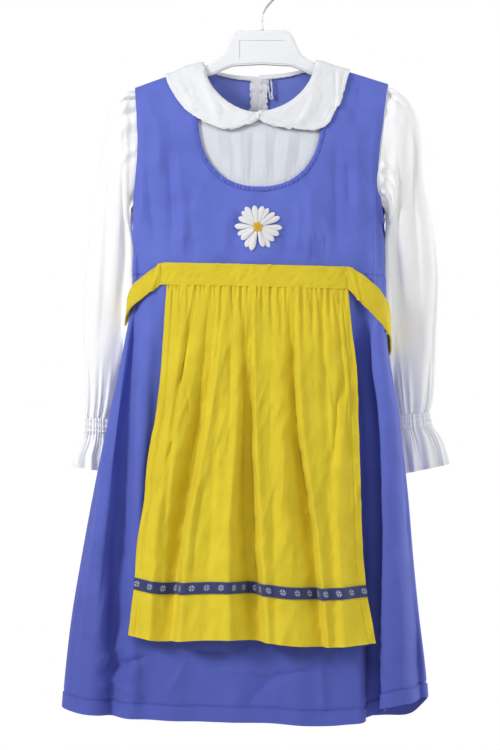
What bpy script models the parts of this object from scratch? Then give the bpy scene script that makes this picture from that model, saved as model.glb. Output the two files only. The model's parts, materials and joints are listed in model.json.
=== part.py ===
"""A child's folk-costume dress on a plastic hanger: blue pinafore with a white blouse front, collar and
sleeves, a gathered yellow apron with a woven ribbon, and a daisy on the chest.

Metres, +Z up, the front faces -Y. The origin is the point inside the hook's crown that a rail touches.
Heights are written as drops below that point."""

import math

import bmesh
import bpy
import numpy as np

# Cloth
CLOTH = 0.0012
FOLDED_CLOTH = 0.0018
SEAM_GAP = 0.0003
LAYER_GAP = 0.0009

# Shoulders, which lie over the hanger's arms
MIDDLE = -0.003
NECK_HALF = 0.0705
SHOULDER_DROP = 0.1095
SHOULDER_SLOPE = {-1: 0.372, 1: 0.320}
PEAK_ROUND = 0.03
RIDGE_RADIUS = 0.006
SETTLE = 0.045
BOXINESS = 0.7
UNDERARM_DROP = 0.309
WAIST_DROP = 0.374

# Necks
NECK_FRONT_DEPTH = 0.066
NECK_BACK_DEPTH = 0.0165
NECK_POWER = 1.85
SCOOP_HALF = 0.0785
SCOOP_TOP_HALF = 0.0920
SCOOP_CENTRE_DROP = 0.178
SCOOP_DEPTH = 0.0915
SCOOP_POWER = 2.3
BACK_SLIT_LENGTH = 0.110
BACK_SLIT_HALF = 0.001
BINDING_RADIUS = 0.0014
NECK_SEAM = 0.0021

# Apron
BAND_LEFT = -0.1222
BAND_RIGHT = 0.1035
BAND_TOP = 0.3605
BAND_HEIGHT = 0.0275
BAND_FALL = 0.0240
BAND_THICK = 0.0024
TIE_WIDTH = 0.026
TIE_TAIL = 0.290
KNOT_DROP = 0.4985
KNOT_HALF = (0.0125, 0.0085, 0.0160)
TRIM_SHARES = (0.8360, 0.8690)

# Daisy
DAISY_DROP = 0.3169
DAISY_X = -0.0056
DAISY_RADIUS = 0.0295
PETALS = 16
DAISY_EYE = 0.0062

# Hanger and hook
HANGER_HALF = 0.0035
ARM_HEIGHT = 0.0150
ARM_DROP = 0.0026
ARM_REACH = 0.146
HOOK_WIRE = 0.0014
HOOK_RADIUS = 0.022
STEM_TOP = 0.0600
PLATE_TOP = 0.0690


def table(names, *rows):
    """Named columns from rows of numbers."""
    return dict(zip(names.split(), np.array(rows, float).T))


# Half widths to the wearer's right (left) and left (right) of the middle, and the cloth's depth in front
# and behind, at each drop.
BODY = table(
    "drop left right front back",
    (0.100, 0.1720, 0.1680, 0.034, 0.030),
    (0.219, 0.1720, 0.1680, 0.038, 0.033),
    (0.280, 0.1655, 0.1610, 0.038, 0.034),
    (0.309, 0.1618, 0.1535, 0.038, 0.034),
    (0.331, 0.1620, 0.1545, 0.038, 0.034),
    (0.374, 0.1612, 0.1550, 0.037, 0.033),
    (0.425, 0.1655, 0.1545, 0.040, 0.036),
    (0.4625, 0.1725, 0.1560, 0.043, 0.039),
    (0.500, 0.1800, 0.1612, 0.045, 0.041),
    (0.575, 0.1963, 0.1737, 0.049, 0.046),
    (0.650, 0.2112, 0.1825, 0.053, 0.049),
    (0.725, 0.2250, 0.1887, 0.056, 0.053),
    (0.800, 0.2375, 0.1962, 0.059, 0.056),
    (0.875, 0.2462, 0.2050, 0.061, 0.058),
    (0.945, 0.2515, 0.2095, 0.063, 0.060),
)

# The armholes' edges in front and behind, as a share of the half width there.
ARMHOLE_FRONT = table(
    "drop left right",
    (0.135, 0.9215, 0.9375),
    (0.160, 0.9100, 0.9080),
    (0.180, 0.9012, 0.8930),
    (0.219, 0.9012, 0.8705),
    (0.256, 0.9375, 0.8780),
    (0.280, 0.9680, 0.9200),
    (0.309, 1.0000, 1.0000),
)
ARMHOLE_BACK = table(
    "drop left right",
    (0.135, 0.9215, 0.9375),
    (0.180, 0.9150, 0.9230),
    (0.219, 0.9250, 0.9200),
    (0.256, 0.9500, 0.9450),
    (0.280, 0.9750, 0.9700),
    (0.309, 1.0000, 1.0000),
)

# The hem's drop against the turn round the body, in degrees from the middle.
FRONT_HEM = table(
    "turn drop",
    (-90, 0.9120),
    (-60, 0.9190),
    (-30, 0.9240),
    (0, 0.9266),
    (28, 0.9300),
    (41, 0.9230),
    (46, 0.9110),
    (52, 0.9060),
    (63, 0.9035),
    (75, 0.9000),
    (90, 0.9015),
)
BACK_HEM = table(
    "turn drop",
    (-90, 0.9120),
    (-45, 0.9200),
    (0, 0.9240),
    (45, 0.9300),
    (64, 0.9270),
    (76, 0.9130),
    (90, 0.9015),
)

# Soft folds of the pinafore: the drops where each starts, is full and begins to fade, its middle at
# the start and the hem, its half width there, how far it stands out (or in), and its squareness.
FOLD_COLUMNS = "start full fade x_start x_hem wide_start wide_hem out power"
FRONT_FOLDS = table(
    FOLD_COLUMNS,
    (0.290, 0.520, 2.0, -0.1530, -0.1880, 0.006, 0.012, -0.012, 2.0),
    (0.330, 0.600, 2.0, -0.1360, -0.1640, 0.008, 0.013, 0.005, 2.0),
    (0.420, 0.700, 2.0, -0.1660, -0.2200, 0.007, 0.016, 0.005, 2.0),
    (0.376, 0.560, 2.0, 0.1150, 0.1300, 0.008, 0.011, -0.016, 2.0),
    (0.300, 0.620, 2.0, 0.1430, 0.1635, 0.009, 0.0205, 0.016, 3.0),
    (0.700, 0.820, 2.0, 0.1860, 0.1980, 0.006, 0.009, -0.012, 2.0),
    (0.225, 0.270, 0.33, 0.1480, 0.1620, 0.009, 0.009, -0.005, 2.0),
    (0.820, 0.930, 2.0, 0.0450, 0.0450, 0.014, 0.022, 0.008, 2.0),
    (0.830, 0.930, 2.0, -0.0350, -0.0350, 0.016, 0.024, 0.005, 2.0),
    (0.830, 0.930, 2.0, -0.1100, -0.1100, 0.014, 0.020, 0.006, 2.0),
)
BACK_FOLDS = table(
    FOLD_COLUMNS,
    (0.300, 0.640, 2.0, -0.1250, -0.1750, 0.009, 0.018, -0.013, 2.0),
    (0.390, 0.660, 2.0, -0.0900, -0.1280, 0.010, 0.019, 0.012, 2.0),
    (0.400, 0.700, 2.0, -0.0520, -0.0720, 0.009, 0.017, -0.012, 2.0),
    (0.400, 0.680, 2.0, -0.0150, -0.0220, 0.011, 0.020, 0.010, 2.0),
    (0.390, 0.640, 2.0, 0.0300, 0.0380, 0.009, 0.018, -0.013, 2.0),
    (0.380, 0.700, 2.0, 0.0700, 0.0880, 0.011, 0.019, 0.013, 2.0),
    (0.350, 0.620, 2.0, 0.1080, 0.1400, 0.009, 0.016, -0.011, 2.0),
)
FADE_LENGTH = 0.10

# The apron's side edges, how far its crests stand off the pinafore, and its lower edge.
APRON_SIDES = table(
    "drop left right off",
    (0.3907, -0.1187, 0.1060, 0.0046),
    (0.4409, -0.1215, 0.1106, 0.0085),
    (0.4941, -0.1247, 0.1168, 0.0120),
    (0.5550, -0.1319, 0.1182, 0.0150),
    (0.5981, -0.1401, 0.1194, 0.0165),
    (0.6529, -0.1448, 0.1209, 0.0180),
    (0.7101, -0.1535, 0.1230, 0.0190),
    (0.7547, -0.1568, 0.1268, 0.0200),
    (0.8323, -0.1655, 0.1394, 0.0210),
)
APRON_HEM = table(
    "share drop",
    (0.00, 0.8188),
    (0.13, 0.8257),
    (0.25, 0.8238),
    (0.53, 0.8248),
    (0.66, 0.8302),
    (0.82, 0.8321),
    (1.00, 0.8287),
)

# Valleys between the apron's gathers: their middles at four drops, half width at the band and the hem,
# and depth at the four drops.
VALLEY_DROPS = (0.390, 0.555, 0.690, 0.832)
APRON_VALLEYS = table(
    "x0 x1 x2 x3 wide_top wide_hem d0 d1 d2 d3",
    (-0.1078, -0.1181, -0.1304, -0.1458, 0.0026, 0.0060, 0.0018, 0.0030, 0.0020, 0.0020),
    (-0.0979, -0.1112, -0.1216, -0.1302, 0.0026, 0.0060, 0.0020, 0.0010, 0.0040, 0.0000),
    (-0.0891, -0.1004, -0.1109, -0.1175, 0.0026, 0.0050, 0.0022, 0.0060, 0.0020, 0.0000),
    (-0.0797, -0.0945, -0.1050, -0.1175, 0.0026, 0.0050, 0.0022, 0.0030, 0.0000, 0.0000),
    (-0.0634, -0.0739, -0.1040, -0.1243, 0.0028, 0.0135, 0.0024, 0.0120, 0.0150, 0.0160),
    (-0.0486, -0.0552, -0.0610, -0.0707, 0.0026, 0.0060, 0.0022, 0.0040, 0.0030, 0.0020),
    (-0.0343, -0.0356, -0.0375, -0.0394, 0.0026, 0.0060, 0.0022, 0.0010, 0.0000, 0.0000),
    (-0.0239, -0.0258, -0.0277, -0.0296, 0.0026, 0.0060, 0.0020, 0.0010, 0.0010, 0.0000),
    (-0.0130, -0.0175, -0.0179, -0.0121, 0.0028, 0.0135, 0.0024, 0.0115, 0.0140, 0.0145),
    (0.0008, 0.0007, 0.0007, 0.0006, 0.0024, 0.0060, 0.0020, 0.0000, 0.0000, 0.0000),
    (0.0117, 0.0135, 0.0134, 0.0143, 0.0026, 0.0060, 0.0022, 0.0000, 0.0020, 0.0020),
    (0.0235, 0.0243, 0.0251, 0.0260, 0.0024, 0.0060, 0.0020, 0.0000, 0.0000, 0.0000),
    (0.0359, 0.0414, 0.0505, 0.0641, 0.0028, 0.0135, 0.0024, 0.0110, 0.0130, 0.0110),
    (0.0492, 0.0547, 0.0633, 0.0826, 0.0024, 0.0060, 0.0020, 0.0000, 0.0020, 0.0020),
    (0.0615, 0.0655, 0.0721, 0.0875, 0.0026, 0.0060, 0.0022, 0.0030, 0.0000, 0.0000),
    (0.0719, 0.0782, 0.0819, 0.0836, 0.0026, 0.0080, 0.0022, 0.0050, 0.0060, 0.0030),
    (0.0818, 0.0940, 0.0956, 0.0973, 0.0024, 0.0060, 0.0020, 0.0030, 0.0000, 0.0000),
    (0.0911, 0.1018, 0.1053, 0.1119, 0.0024, 0.0060, 0.0018, 0.0050, 0.0030, 0.0030),
)

# Sleeves, from the armhole to the frill's edge: the outer and inner line of the sleeve seen from the
# front, its half thickness, and how far it hangs behind the middle plane.
SLEEVE_COLUMNS = "out_x out_drop in_x in_drop deep behind"
SLEEVES = {
    -1: table(
        SLEEVE_COLUMNS,
        (0.1525, 0.1445, 0.1535, 0.2885, 0.0165, 0.000),
        (0.1612, 0.1450, 0.1610, 0.2930, 0.0170, 0.000),
        (0.1725, 0.1465, 0.1655, 0.3010, 0.0190, 0.001),
        (0.1835, 0.1570, 0.1665, 0.3125, 0.0215, 0.004),
        (0.1915, 0.1690, 0.1655, 0.3250, 0.0225, 0.009),
        (0.1975, 0.1980, 0.1635, 0.3390, 0.0230, 0.014),
        (0.2055, 0.2500, 0.1615, 0.3560, 0.0235, 0.018),
        (0.2137, 0.3090, 0.1600, 0.3800, 0.0235, 0.022),
        (0.2212, 0.3740, 0.1600, 0.4120, 0.0230, 0.028),
        (0.2247, 0.4350, 0.1650, 0.4560, 0.0220, 0.035),
        (0.2250, 0.4800, 0.1730, 0.4980, 0.0200, 0.039),
        (0.2226, 0.5250, 0.1810, 0.5320, 0.0165, 0.041),
        (0.2227, 0.5530, 0.1890, 0.5550, 0.0115, 0.042),
    ),
    1: table(
        SLEEVE_COLUMNS,
        (0.1510, 0.1405, 0.1450, 0.2870, 0.0165, 0.000),
        (0.1600, 0.1405, 0.1525, 0.2915, 0.0170, 0.000),
        (0.1720, 0.1470, 0.1575, 0.3000, 0.0190, 0.001),
        (0.1850, 0.1575, 0.1590, 0.3120, 0.0215, 0.004),
        (0.1945, 0.1740, 0.1580, 0.3250, 0.0225, 0.009),
        (0.2015, 0.2000, 0.1565, 0.3380, 0.0230, 0.014),
        (0.2050, 0.2560, 0.1550, 0.3560, 0.0235, 0.018),
        (0.2155, 0.3080, 0.1540, 0.3800, 0.0235, 0.022),
        (0.2230, 0.3700, 0.1540, 0.4120, 0.0230, 0.028),
        (0.2225, 0.4330, 0.1580, 0.4560, 0.0220, 0.034),
        (0.2205, 0.4850, 0.1630, 0.4980, 0.0200, 0.037),
        (0.2168, 0.5270, 0.1690, 0.5320, 0.0165, 0.039),
        (0.2118, 0.5470, 0.1735, 0.5500, 0.0115, 0.040),
    ),
}
CUFFS = {
    -1: table(
        SLEEVE_COLUMNS,
        (0.2227, 0.5533, 0.1890, 0.5553, 0.0115, 0.042),
        (0.2232, 0.5650, 0.1885, 0.5665, 0.0118, 0.0425),
        (0.2235, 0.5730, 0.1885, 0.5745, 0.0120, 0.043),
    ),
    1: table(
        SLEEVE_COLUMNS,
        (0.2122, 0.5473, 0.1735, 0.5503, 0.0115, 0.040),
        (0.2143, 0.5570, 0.1735, 0.5600, 0.0118, 0.0405),
        (0.2158, 0.5670, 0.1735, 0.5700, 0.0120, 0.041),
    ),
}
FRILLS = {
    -1: table(
        SLEEVE_COLUMNS,
        (0.2240, 0.5733, 0.1882, 0.5748, 0.0120, 0.043),
        (0.2280, 0.5850, 0.1865, 0.5880, 0.0135, 0.044),
        (0.2360, 0.6010, 0.1850, 0.6040, 0.0150, 0.046),
        (0.2380, 0.6160, 0.1835, 0.6240, 0.0160, 0.047),
    ),
    1: table(
        SLEEVE_COLUMNS,
        (0.2163, 0.5673, 0.1740, 0.5703, 0.0120, 0.041),
        (0.2258, 0.5790, 0.1750, 0.5870, 0.0135, 0.042),
        (0.2318, 0.5950, 0.1765, 0.6050, 0.0150, 0.044),
        (0.2353, 0.6130, 0.1785, 0.6250, 0.0160, 0.045),
    ),
}
# Long creases of a sleeve: clock angle (0 outer edge, 90 front), depth, half width, first and last ring.
SLEEVE_CREASES = table(
    "angle deep wide first last",
    (62, -0.0035, 14, 3, 10),
    (105, -0.0050, 12, 2, 9),
    (140, 0.0020, 14, 4, 11),
    (215, -0.0035, 16, 3, 10),
    (285, -0.0045, 16, 3, 11),
)
FRILL_WAVES = 9
FRILL_WAVE_DEPTH = 0.0032

# The ties' way round from the ends of the band to the knot: turn round the body in degrees from the
# middle of the front, the drops of the upper and lower edge, and the distance off the cloth.
TIES = {
    -1: table(
        "turn top bottom off",
        (50.5, 0.3612, 0.3885, 0.0021),
        (56.9, 0.3713, 0.3988, 0.0050),
        (63.8, 0.3800, 0.4075, 0.0060),
        (72.9, 0.3888, 0.4163, 0.0055),
        (82.0, 0.4038, 0.4263, 0.0040),
        (90.0, 0.4138, 0.4333, 0.0032),
        (100.0, 0.4240, 0.4440, 0.0035),
        (120.0, 0.4430, 0.4650, 0.0070),
        (142.0, 0.4630, 0.4870, 0.0100),
        (160.0, 0.4780, 0.5020, 0.0110),
        (175.4, 0.4885, 0.5085, 0.0115),
    ),
    1: table(
        "turn top bottom off",
        (42.9, 0.3655, 0.3935, 0.0021),
        (49.6, 0.3750, 0.4113, 0.0070),
        (55.6, 0.3850, 0.4231, 0.0090),
        (62.5, 0.3950, 0.4350, 0.0095),
        (70.0, 0.4063, 0.4463, 0.0085),
        (79.5, 0.4163, 0.4563, 0.0060),
        (90.0, 0.4406, 0.4706, 0.0035),
        (105.0, 0.4520, 0.4780, 0.0040),
        (125.0, 0.4630, 0.4880, 0.0090),
        (145.0, 0.4730, 0.4970, 0.0110),
        (160.0, 0.4800, 0.5040, 0.0110),
        (176.9, 0.4885, 0.5085, 0.0115),
    ),
}

# The collar's outer edge on each side, (x, drop): from the crest to the middle of the front, and from
# the crest to the slit behind.
COLLAR_FRONT = {
    -1: table(
        "x drop",
        (-0.1195, 0.1290),
        (-0.1125, 0.1462),
        (-0.1000, 0.1650),
        (-0.0825, 0.1800),
        (-0.0638, 0.1900),
        (-0.0475, 0.1950),
        (-0.0300, 0.1938),
        (-0.0163, 0.1888),
        (-0.0045, 0.1825),
    ),
    1: table(
        "x drop",
        (0.1085, 0.1230),
        (0.1050, 0.1338),
        (0.0988, 0.1556),
        (0.0950, 0.1650),
        (0.0875, 0.1775),
        (0.0825, 0.1875),
        (0.0675, 0.1962),
        (0.0512, 0.1962),
        (0.0275, 0.1938),
        (0.0075, 0.1888),
        (-0.0027, 0.1825),
    ),
}
COLLAR_BACK = {
    -1: table(
        "x drop",
        (-0.1195, 0.1290),
        (-0.1150, 0.1480),
        (-0.1000, 0.1640),
        (-0.0730, 0.1730),
        (-0.0420, 0.1740),
        (-0.0220, 0.1690),
        (-0.0120, 0.1610),
        (-0.0090, 0.1490),
    ),
    1: table(
        "x drop",
        (0.1085, 0.1230),
        (0.1060, 0.1450),
        (0.0930, 0.1640),
        (0.0670, 0.1730),
        (0.0360, 0.1740),
        (0.0160, 0.1690),
        (0.0060, 0.1610),
        (0.0030, 0.1490),
    ),
}
CREST_STEPS = (0.0, 0.0045, 0.0095)
FAN_BEND = 0.9


def smooth(xs, ys, at):
    """A cubic curve through the points (xs, ys), read at the given values; xs rise."""
    at = np.clip(at, xs[0], xs[-1])
    slope = np.gradient(ys, xs)
    i = np.clip(np.searchsorted(xs, at, side="right") - 1, 0, len(xs) - 2)
    span = xs[i + 1] - xs[i]
    t = (at - xs[i]) / span
    return (
        (1 + 2 * t) * (1 - t) ** 2 * ys[i]
        + t * (1 - t) ** 2 * span * slope[i]
        + t * t * (3 - 2 * t) * ys[i + 1]
        + t * t * (t - 1) * span * slope[i + 1]
    )


def read(columns, name, at, key="drop"):
    return smooth(columns[key], columns[name], at)


def ease(t):
    t = np.clip(t, 0, 1)
    return t * t * (3 - 2 * t)


def half_width(x, drop):
    return np.where(x < 0, read(BODY, "left", drop), read(BODY, "right", drop))


def ridge_drop(x):
    """The drop of the shoulder's crest, carried on across the neck opening."""
    x = np.asarray(x, float)
    slope = np.where(x < 0, SHOULDER_SLOPE[-1], SHOULDER_SLOPE[1])
    return SHOULDER_DROP + slope * (np.hypot(x, PEAK_ROUND) - math.hypot(NECK_HALF, PEAK_ROUND))


def from_crest(x, drop):
    """The distance over the cloth from the shoulder's crest down to a place."""
    down = np.maximum(drop - ridge_drop(x), 0)
    bend = RIDGE_RADIUS * np.arccos(np.clip(1 - down / RIDGE_RADIUS, 0, 1))
    return bend + np.maximum(down - RIDGE_RADIUS, 0)


def below_crest(x, distance):
    """The drop of the place that lies that far over the cloth from the crest."""
    quarter = RIDGE_RADIUS * math.pi / 2
    bend = RIDGE_RADIUS * (1 - np.cos(np.minimum(distance, quarter) / RIDGE_RADIUS))
    return ridge_drop(x) + bend + np.maximum(distance - quarter, 0)


def cloth_depth(x, drop, side):
    """How far the pinafore's outer face stands from the middle plane, in front (-1) or behind (1)."""
    across = np.clip(np.abs(x) / half_width(x, drop), 0, 1)
    belly = read(BODY, "front" if side < 0 else "back", drop) * (1 - across**2) ** (BOXINESS / 2)
    below = drop - ridge_drop(x) - RIDGE_RADIUS
    settle = 1 - np.exp(-np.maximum(below, 0) / SETTLE)
    rise = np.clip(-below / RIDGE_RADIUS, 0, 1)
    return (RIDGE_RADIUS * (1 - settle) + belly * settle) * np.sqrt(1 - rise**2)


def fold_shift(x, drop, folds):
    """How far the folds carry the cloth outwards at a place."""
    out = np.zeros_like(x)
    hem = BODY["drop"][-1]
    for i in range(len(folds["start"])):
        row = {name: column[i] for name, column in folds.items()}
        down = np.clip((drop - row["start"]) / (hem - row["start"]), 0, 1)
        middle = row["x_start"] + (row["x_hem"] - row["x_start"]) * down
        wide = row["wide_start"] + (row["wide_hem"] - row["wide_start"]) * down
        grown = ease((drop - row["start"]) / (row["full"] - row["start"]))
        faded = 1 - ease((drop - row["fade"]) / FADE_LENGTH)
        out += row["out"] * grown * faded * np.exp(-np.abs((x - middle) / wide) ** row["power"])
    return out


def cloth(x, drop, side, folded=True):
    """Points of the pinafore's outer face."""
    x, drop = np.broadcast_arrays(np.asarray(x, float), np.asarray(drop, float))
    depth = cloth_depth(x, drop, side)
    if folded:
        edge = ease((1 - np.abs(x) / half_width(x, drop)) / 0.08)
        depth = depth + edge * fold_shift(x, drop, FRONT_FOLDS if side < 0 else BACK_FOLDS)
    return np.stack([x, side * depth, -drop], axis=-1)


def to_turn(x, drop):
    return np.arcsin(np.clip(x / half_width(x, drop), -1, 1))


def place(turn, distance):
    """(x, drop) of the place at that turn round the body and that distance from the crest."""
    x = np.sin(turn) * half_width(turn, UNDERARM_DROP)
    for _ in range(5):
        x = np.sin(turn) * half_width(turn, below_crest(x, distance))
    return x, below_crest(x, distance)


def neck_edge(hand, side, grow=0.0, count=200):
    """(x, drop) along half of the neck's edge, from the crest to the middle in front or behind."""
    turn = np.linspace(math.pi / 2, 0, count)
    half = NECK_HALF + grow
    deep = (NECK_FRONT_DEPTH if side < 0 else NECK_BACK_DEPTH) + grow
    across = np.sin(turn) ** 0.9
    fall = deep * (1 - np.clip(across, 0, 1) ** NECK_POWER) ** (1 / NECK_POWER)
    return MIDDLE + hand * half * across, ridge_drop(MIDDLE + hand * half) + fall


def scoop_edge(hand, grow=0.0, count=400):
    """(x, drop) along half of the front's scooped edge, from the crest to the middle."""
    share = np.linspace(0, 0.5, count)
    arc = np.clip((share - 0.16) / 0.68, 0, 1) * math.pi
    half, deep = SCOOP_HALF + grow, SCOOP_DEPTH + grow
    x = half * np.abs(np.cos(arc)) ** (2 / SCOOP_POWER)
    drop = SCOOP_CENTRE_DROP + deep * np.abs(np.sin(arc)) ** (2 / SCOOP_POWER)
    up = np.clip((0.16 - share) / 0.16, 0, 1)
    top = SCOOP_TOP_HALF + grow
    crest = ridge_drop(MIDDLE + hand * top)
    x = np.where(up > 0, half + (top - half) * up**1.6, x)
    drop = np.where(up > 0, SCOOP_CENTRE_DROP + (crest - SCOOP_CENTRE_DROP) * up, drop)
    return MIDDLE + hand * x, drop


def armhole_edge(hand, side, count=200):
    """(x, drop) down half of an armhole's edge, from the crest to the underarm."""
    tip = ridge_drop(armhole_x(SHOULDER_DROP, hand, side))
    drop = np.linspace(tip, UNDERARM_DROP, count)
    x = armhole_x(drop, hand, side)
    x[0] = armhole_x(SHOULDER_DROP, hand, side)
    return x, drop


def stations(line, count, start=CREST_STEPS):
    """Picks count places on a fine edge line: some close together at its start, the rest evenly."""
    x, drop = line
    index = np.arange(len(x))
    first = np.interp(start, from_crest(x, drop), index)
    walked = np.concatenate([[0], np.cumsum(np.hypot(np.diff(x), np.diff(drop)))])
    begin = np.interp(first[-1], index, walked)
    rest = np.linspace(begin, walked[-1], count - len(first) + 1)[1:]
    picks = np.concatenate([first, np.interp(rest, walked, index)])
    return np.interp(picks, index, x), np.interp(picks, index, drop)


def joined(*lines):
    """Lines of (x, drop) one after another, each but the first without its first place."""
    xs = [lines[0][0]] + [line[0][1:] for line in lines[1:]]
    drops = [lines[0][1]] + [line[1][1:] for line in lines[1:]]
    return np.concatenate(xs), np.concatenate(drops)


def back_to_front(line):
    return line[0][::-1], line[1][::-1]


def fan(outer, inner, shares):
    """(x, drop) of a grid from an outer edge (share 0) to an inner edge (share 1). Its lines leave
    the outer edge a little more level than straight ones would, to clear the armhole's hollow."""
    ends = [(to_turn(x, drop), from_crest(x, drop)) for x, drop in (outer, inner)]
    rows = []
    for share in shares:
        sooner = share + FAN_BEND * share * (1 - share) ** 2
        turn = ends[0][0] + (ends[1][0] - ends[0][0]) * sooner
        distance = ends[0][1] + (ends[1][1] - ends[0][1]) * share
        rows.append(place(turn, distance))
    return np.array([row[0] for row in rows]), np.array([row[1] for row in rows])


def grid_normals(points, loop, facing):
    """Unit normals of a grid [row, column], turned to the side that facing points to."""
    if loop:
        across = np.roll(points, -1, axis=1) - np.roll(points, 1, axis=1)
    else:
        across = np.gradient(points, axis=1)
    along = np.gradient(points, axis=0)
    normal = np.cross(across, along)
    normal /= np.maximum(np.linalg.norm(normal, axis=2, keepdims=True), 1e-12)
    return normal if (normal * facing).sum() > 0 else -normal


def new_object(name, mesh, material):
    body = bpy.data.objects.new(name, mesh)
    bpy.context.scene.collection.objects.link(body)
    mesh.materials.append(material)
    mesh.shade_smooth()
    mesh.set_sharp_from_angle(angle=math.radians(50))
    return body


def closed_body(name, bm, material):
    """Turns the finished bmesh into an object whose faces all point outwards."""
    bm.normal_update()
    bmesh.ops.recalc_face_normals(bm, faces=bm.faces)
    mesh = bpy.data.meshes.new(name)
    bm.to_mesh(mesh)
    bm.free()
    return new_object(name, mesh, material)


def wall(
    name,
    material,
    points,
    out=-CLOTH,
    thick=CLOTH,
    loop=False,
    facing=(0, -1, 0),
    level_rows=(),
    low=(-9, -9, -9),
    high=(9, 9, 9),
):
    """A closed cloth wall on a grid of points[row, column]. It lies from out to out + thick along the
    grid's normals, which are level on level_rows, and keeps between the corners low and high."""
    points = np.asarray(points, float)
    if loop:
        facing = points - points.mean(axis=1, keepdims=True)
    normal = grid_normals(points, loop, np.asarray(facing, float))
    for row in level_rows:
        normal[row, :, 2] = 0
    normal /= np.maximum(np.linalg.norm(normal, axis=2, keepdims=True), 1e-12)
    faces_of = [np.clip(points + normal * step, low, high) for step in (out + thick, out)]
    bm = bmesh.new()
    outer, inner = ([[bm.verts.new(p) for p in row] for row in layer] for layer in faces_of)
    rows, columns = points.shape[:2]
    last = columns if loop else columns - 1
    for j in range(rows - 1):
        for i in range(last):
            k = (i + 1) % columns
            bm.faces.new((outer[j][i], outer[j][k], outer[j + 1][k], outer[j + 1][i]))
            bm.faces.new((inner[j][i], inner[j + 1][i], inner[j + 1][k], inner[j][k]))
    for j in (0, rows - 1):
        for i in range(last):
            k = (i + 1) % columns
            bm.faces.new((outer[j][i], outer[j][k], inner[j][k], inner[j][i]))
    if not loop:
        for i in (0, columns - 1):
            for j in range(rows - 1):
                bm.faces.new((outer[j][i], outer[j + 1][i], inner[j + 1][i], inner[j][i]))
    return closed_body(name, bm, material)


def tube(name, material, path, radius, sides=8, flat=1.0):
    """A closed round bar along a path, its height across the path scaled by flat."""
    path = np.asarray(path, float)
    along = np.gradient(path, axis=0)
    along /= np.linalg.norm(along, axis=1, keepdims=True)
    side = np.cross(along, (0, 0.25, 1.0))
    side /= np.linalg.norm(side, axis=1, keepdims=True)
    up = np.cross(side, along)
    bm = bmesh.new()
    rings = []
    for p, s, u in zip(path, side, up):
        angles = [2 * math.pi * k / sides for k in range(sides)]
        rings.append(
            [bm.verts.new(p + radius * (math.cos(a) * s + flat * math.sin(a) * u)) for a in angles]
        )
    for a, b in zip(rings, rings[1:]):
        for k in range(sides):
            m = (k + 1) % sides
            bm.faces.new((a[k], a[m], b[m], b[k]))
    bm.faces.new(rings[0])
    bm.faces.new(rings[-1])
    return closed_body(name, bm, material)


def cloth_material(name, colour, roughness=0.85, alpha=1.0, metallic=0.0):
    material = bpy.data.materials.new(name)
    material.use_nodes = True
    shader = material.node_tree.nodes["Principled BSDF"]
    shader.inputs["Base Color"].default_value = (*colour, 1)
    shader.inputs["Roughness"].default_value = roughness
    shader.inputs["Metallic"].default_value = metallic
    shader.inputs["Alpha"].default_value = alpha
    return material


def armhole_x(drop, hand, side):
    name = "left" if hand < 0 else "right"
    share = read(ARMHOLE_FRONT if side < 0 else ARMHOLE_BACK, name, drop)
    return hand * read(BODY, name, drop) * share


def side_edge(hand, count):
    """(x, drop) down a side seam, from the underarm to the waist."""
    drop = np.linspace(UNDERARM_DROP, WAIST_DROP - SEAM_GAP, count)
    return hand * read(BODY, "left" if hand < 0 else "right", drop), drop


def waist_edge(start, stop, count):
    """(x, drop) along the bodice's lower edge between two turns."""
    turn = np.linspace(start, stop, count)
    drop = np.full(count, WAIST_DROP - SEAM_GAP)
    return np.sin(turn) * half_width(turn, drop), drop


PANEL_ROWS = (0, 0.14, 0.30, 0.46, 0.62, 0.78, 0.91, 1)


def bodice_front(blue):
    """The pinafore's front: shoulders, scooped neck, armholes and side seams, down to the waist."""
    arms = {hand: stations(armhole_edge(hand, -1), 10) for hand in (-1, 1)}
    sides = {hand: side_edge(hand, 4) for hand in (-1, 1)}
    waist = waist_edge(-math.pi / 2, math.pi / 2, 15)
    outer = joined(arms[-1], sides[-1], waist, back_to_front(sides[1]), back_to_front(arms[1]))
    half = len(outer[0]) // 2 + 1
    scoops = {hand: stations(scoop_edge(hand), half) for hand in (-1, 1)}
    inner = joined(scoops[-1], back_to_front(scoops[1]))
    x, drop = fan(outer, inner, PANEL_ROWS)
    high = (9, -SEAM_GAP / 2, 9)
    low = (-9, -9, SEAM_GAP - WAIST_DROP)
    return wall("bodice_front", blue, cloth(x, drop, -1), low=low, high=high)


def bodice_back(blue, hand):
    """Half of the pinafore's back, with its edge of the slit that opens the neck."""
    middle_turn = to_turn(MIDDLE, WAIST_DROP)
    waist = waist_edge(middle_turn, hand * math.pi / 2, 9)
    side = back_to_front(side_edge(hand, 4))
    arm = back_to_front(stations(armhole_edge(hand, 1), 10))
    outer = joined(waist, side, arm)
    inner = back_to_front(stations(neck_edge(hand, 1, NECK_SEAM), len(outer[0])))
    x, drop = fan(outer, inner, PANEL_ROWS)
    slit_end = drop[-1, 0] + BACK_SLIT_LENGTH
    x[:, 0] = MIDDLE + hand * np.where(drop[:, 0] < slit_end, BACK_SLIT_HALF, SEAM_GAP / 2)
    low = [-9, SEAM_GAP / 2, SEAM_GAP - WAIST_DROP]
    high = [9, 9, 9]
    if hand < 0:
        high[0] = MIDDLE - SEAM_GAP / 2
    else:
        low[0] = MIDDLE + SEAM_GAP / 2
    name = "bodice_back_left" if hand < 0 else "bodice_back_right"
    return wall(name, blue, cloth(x, drop, 1), facing=(0, 1, 0), low=low, high=high)


SKIRT_TURNS = {
    -1: ((-90, -50, 9), (-50, 33, 13), (33, 72, 15), (72, 90, 4)),
    1: ((-90, 90, 31),),
}


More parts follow.
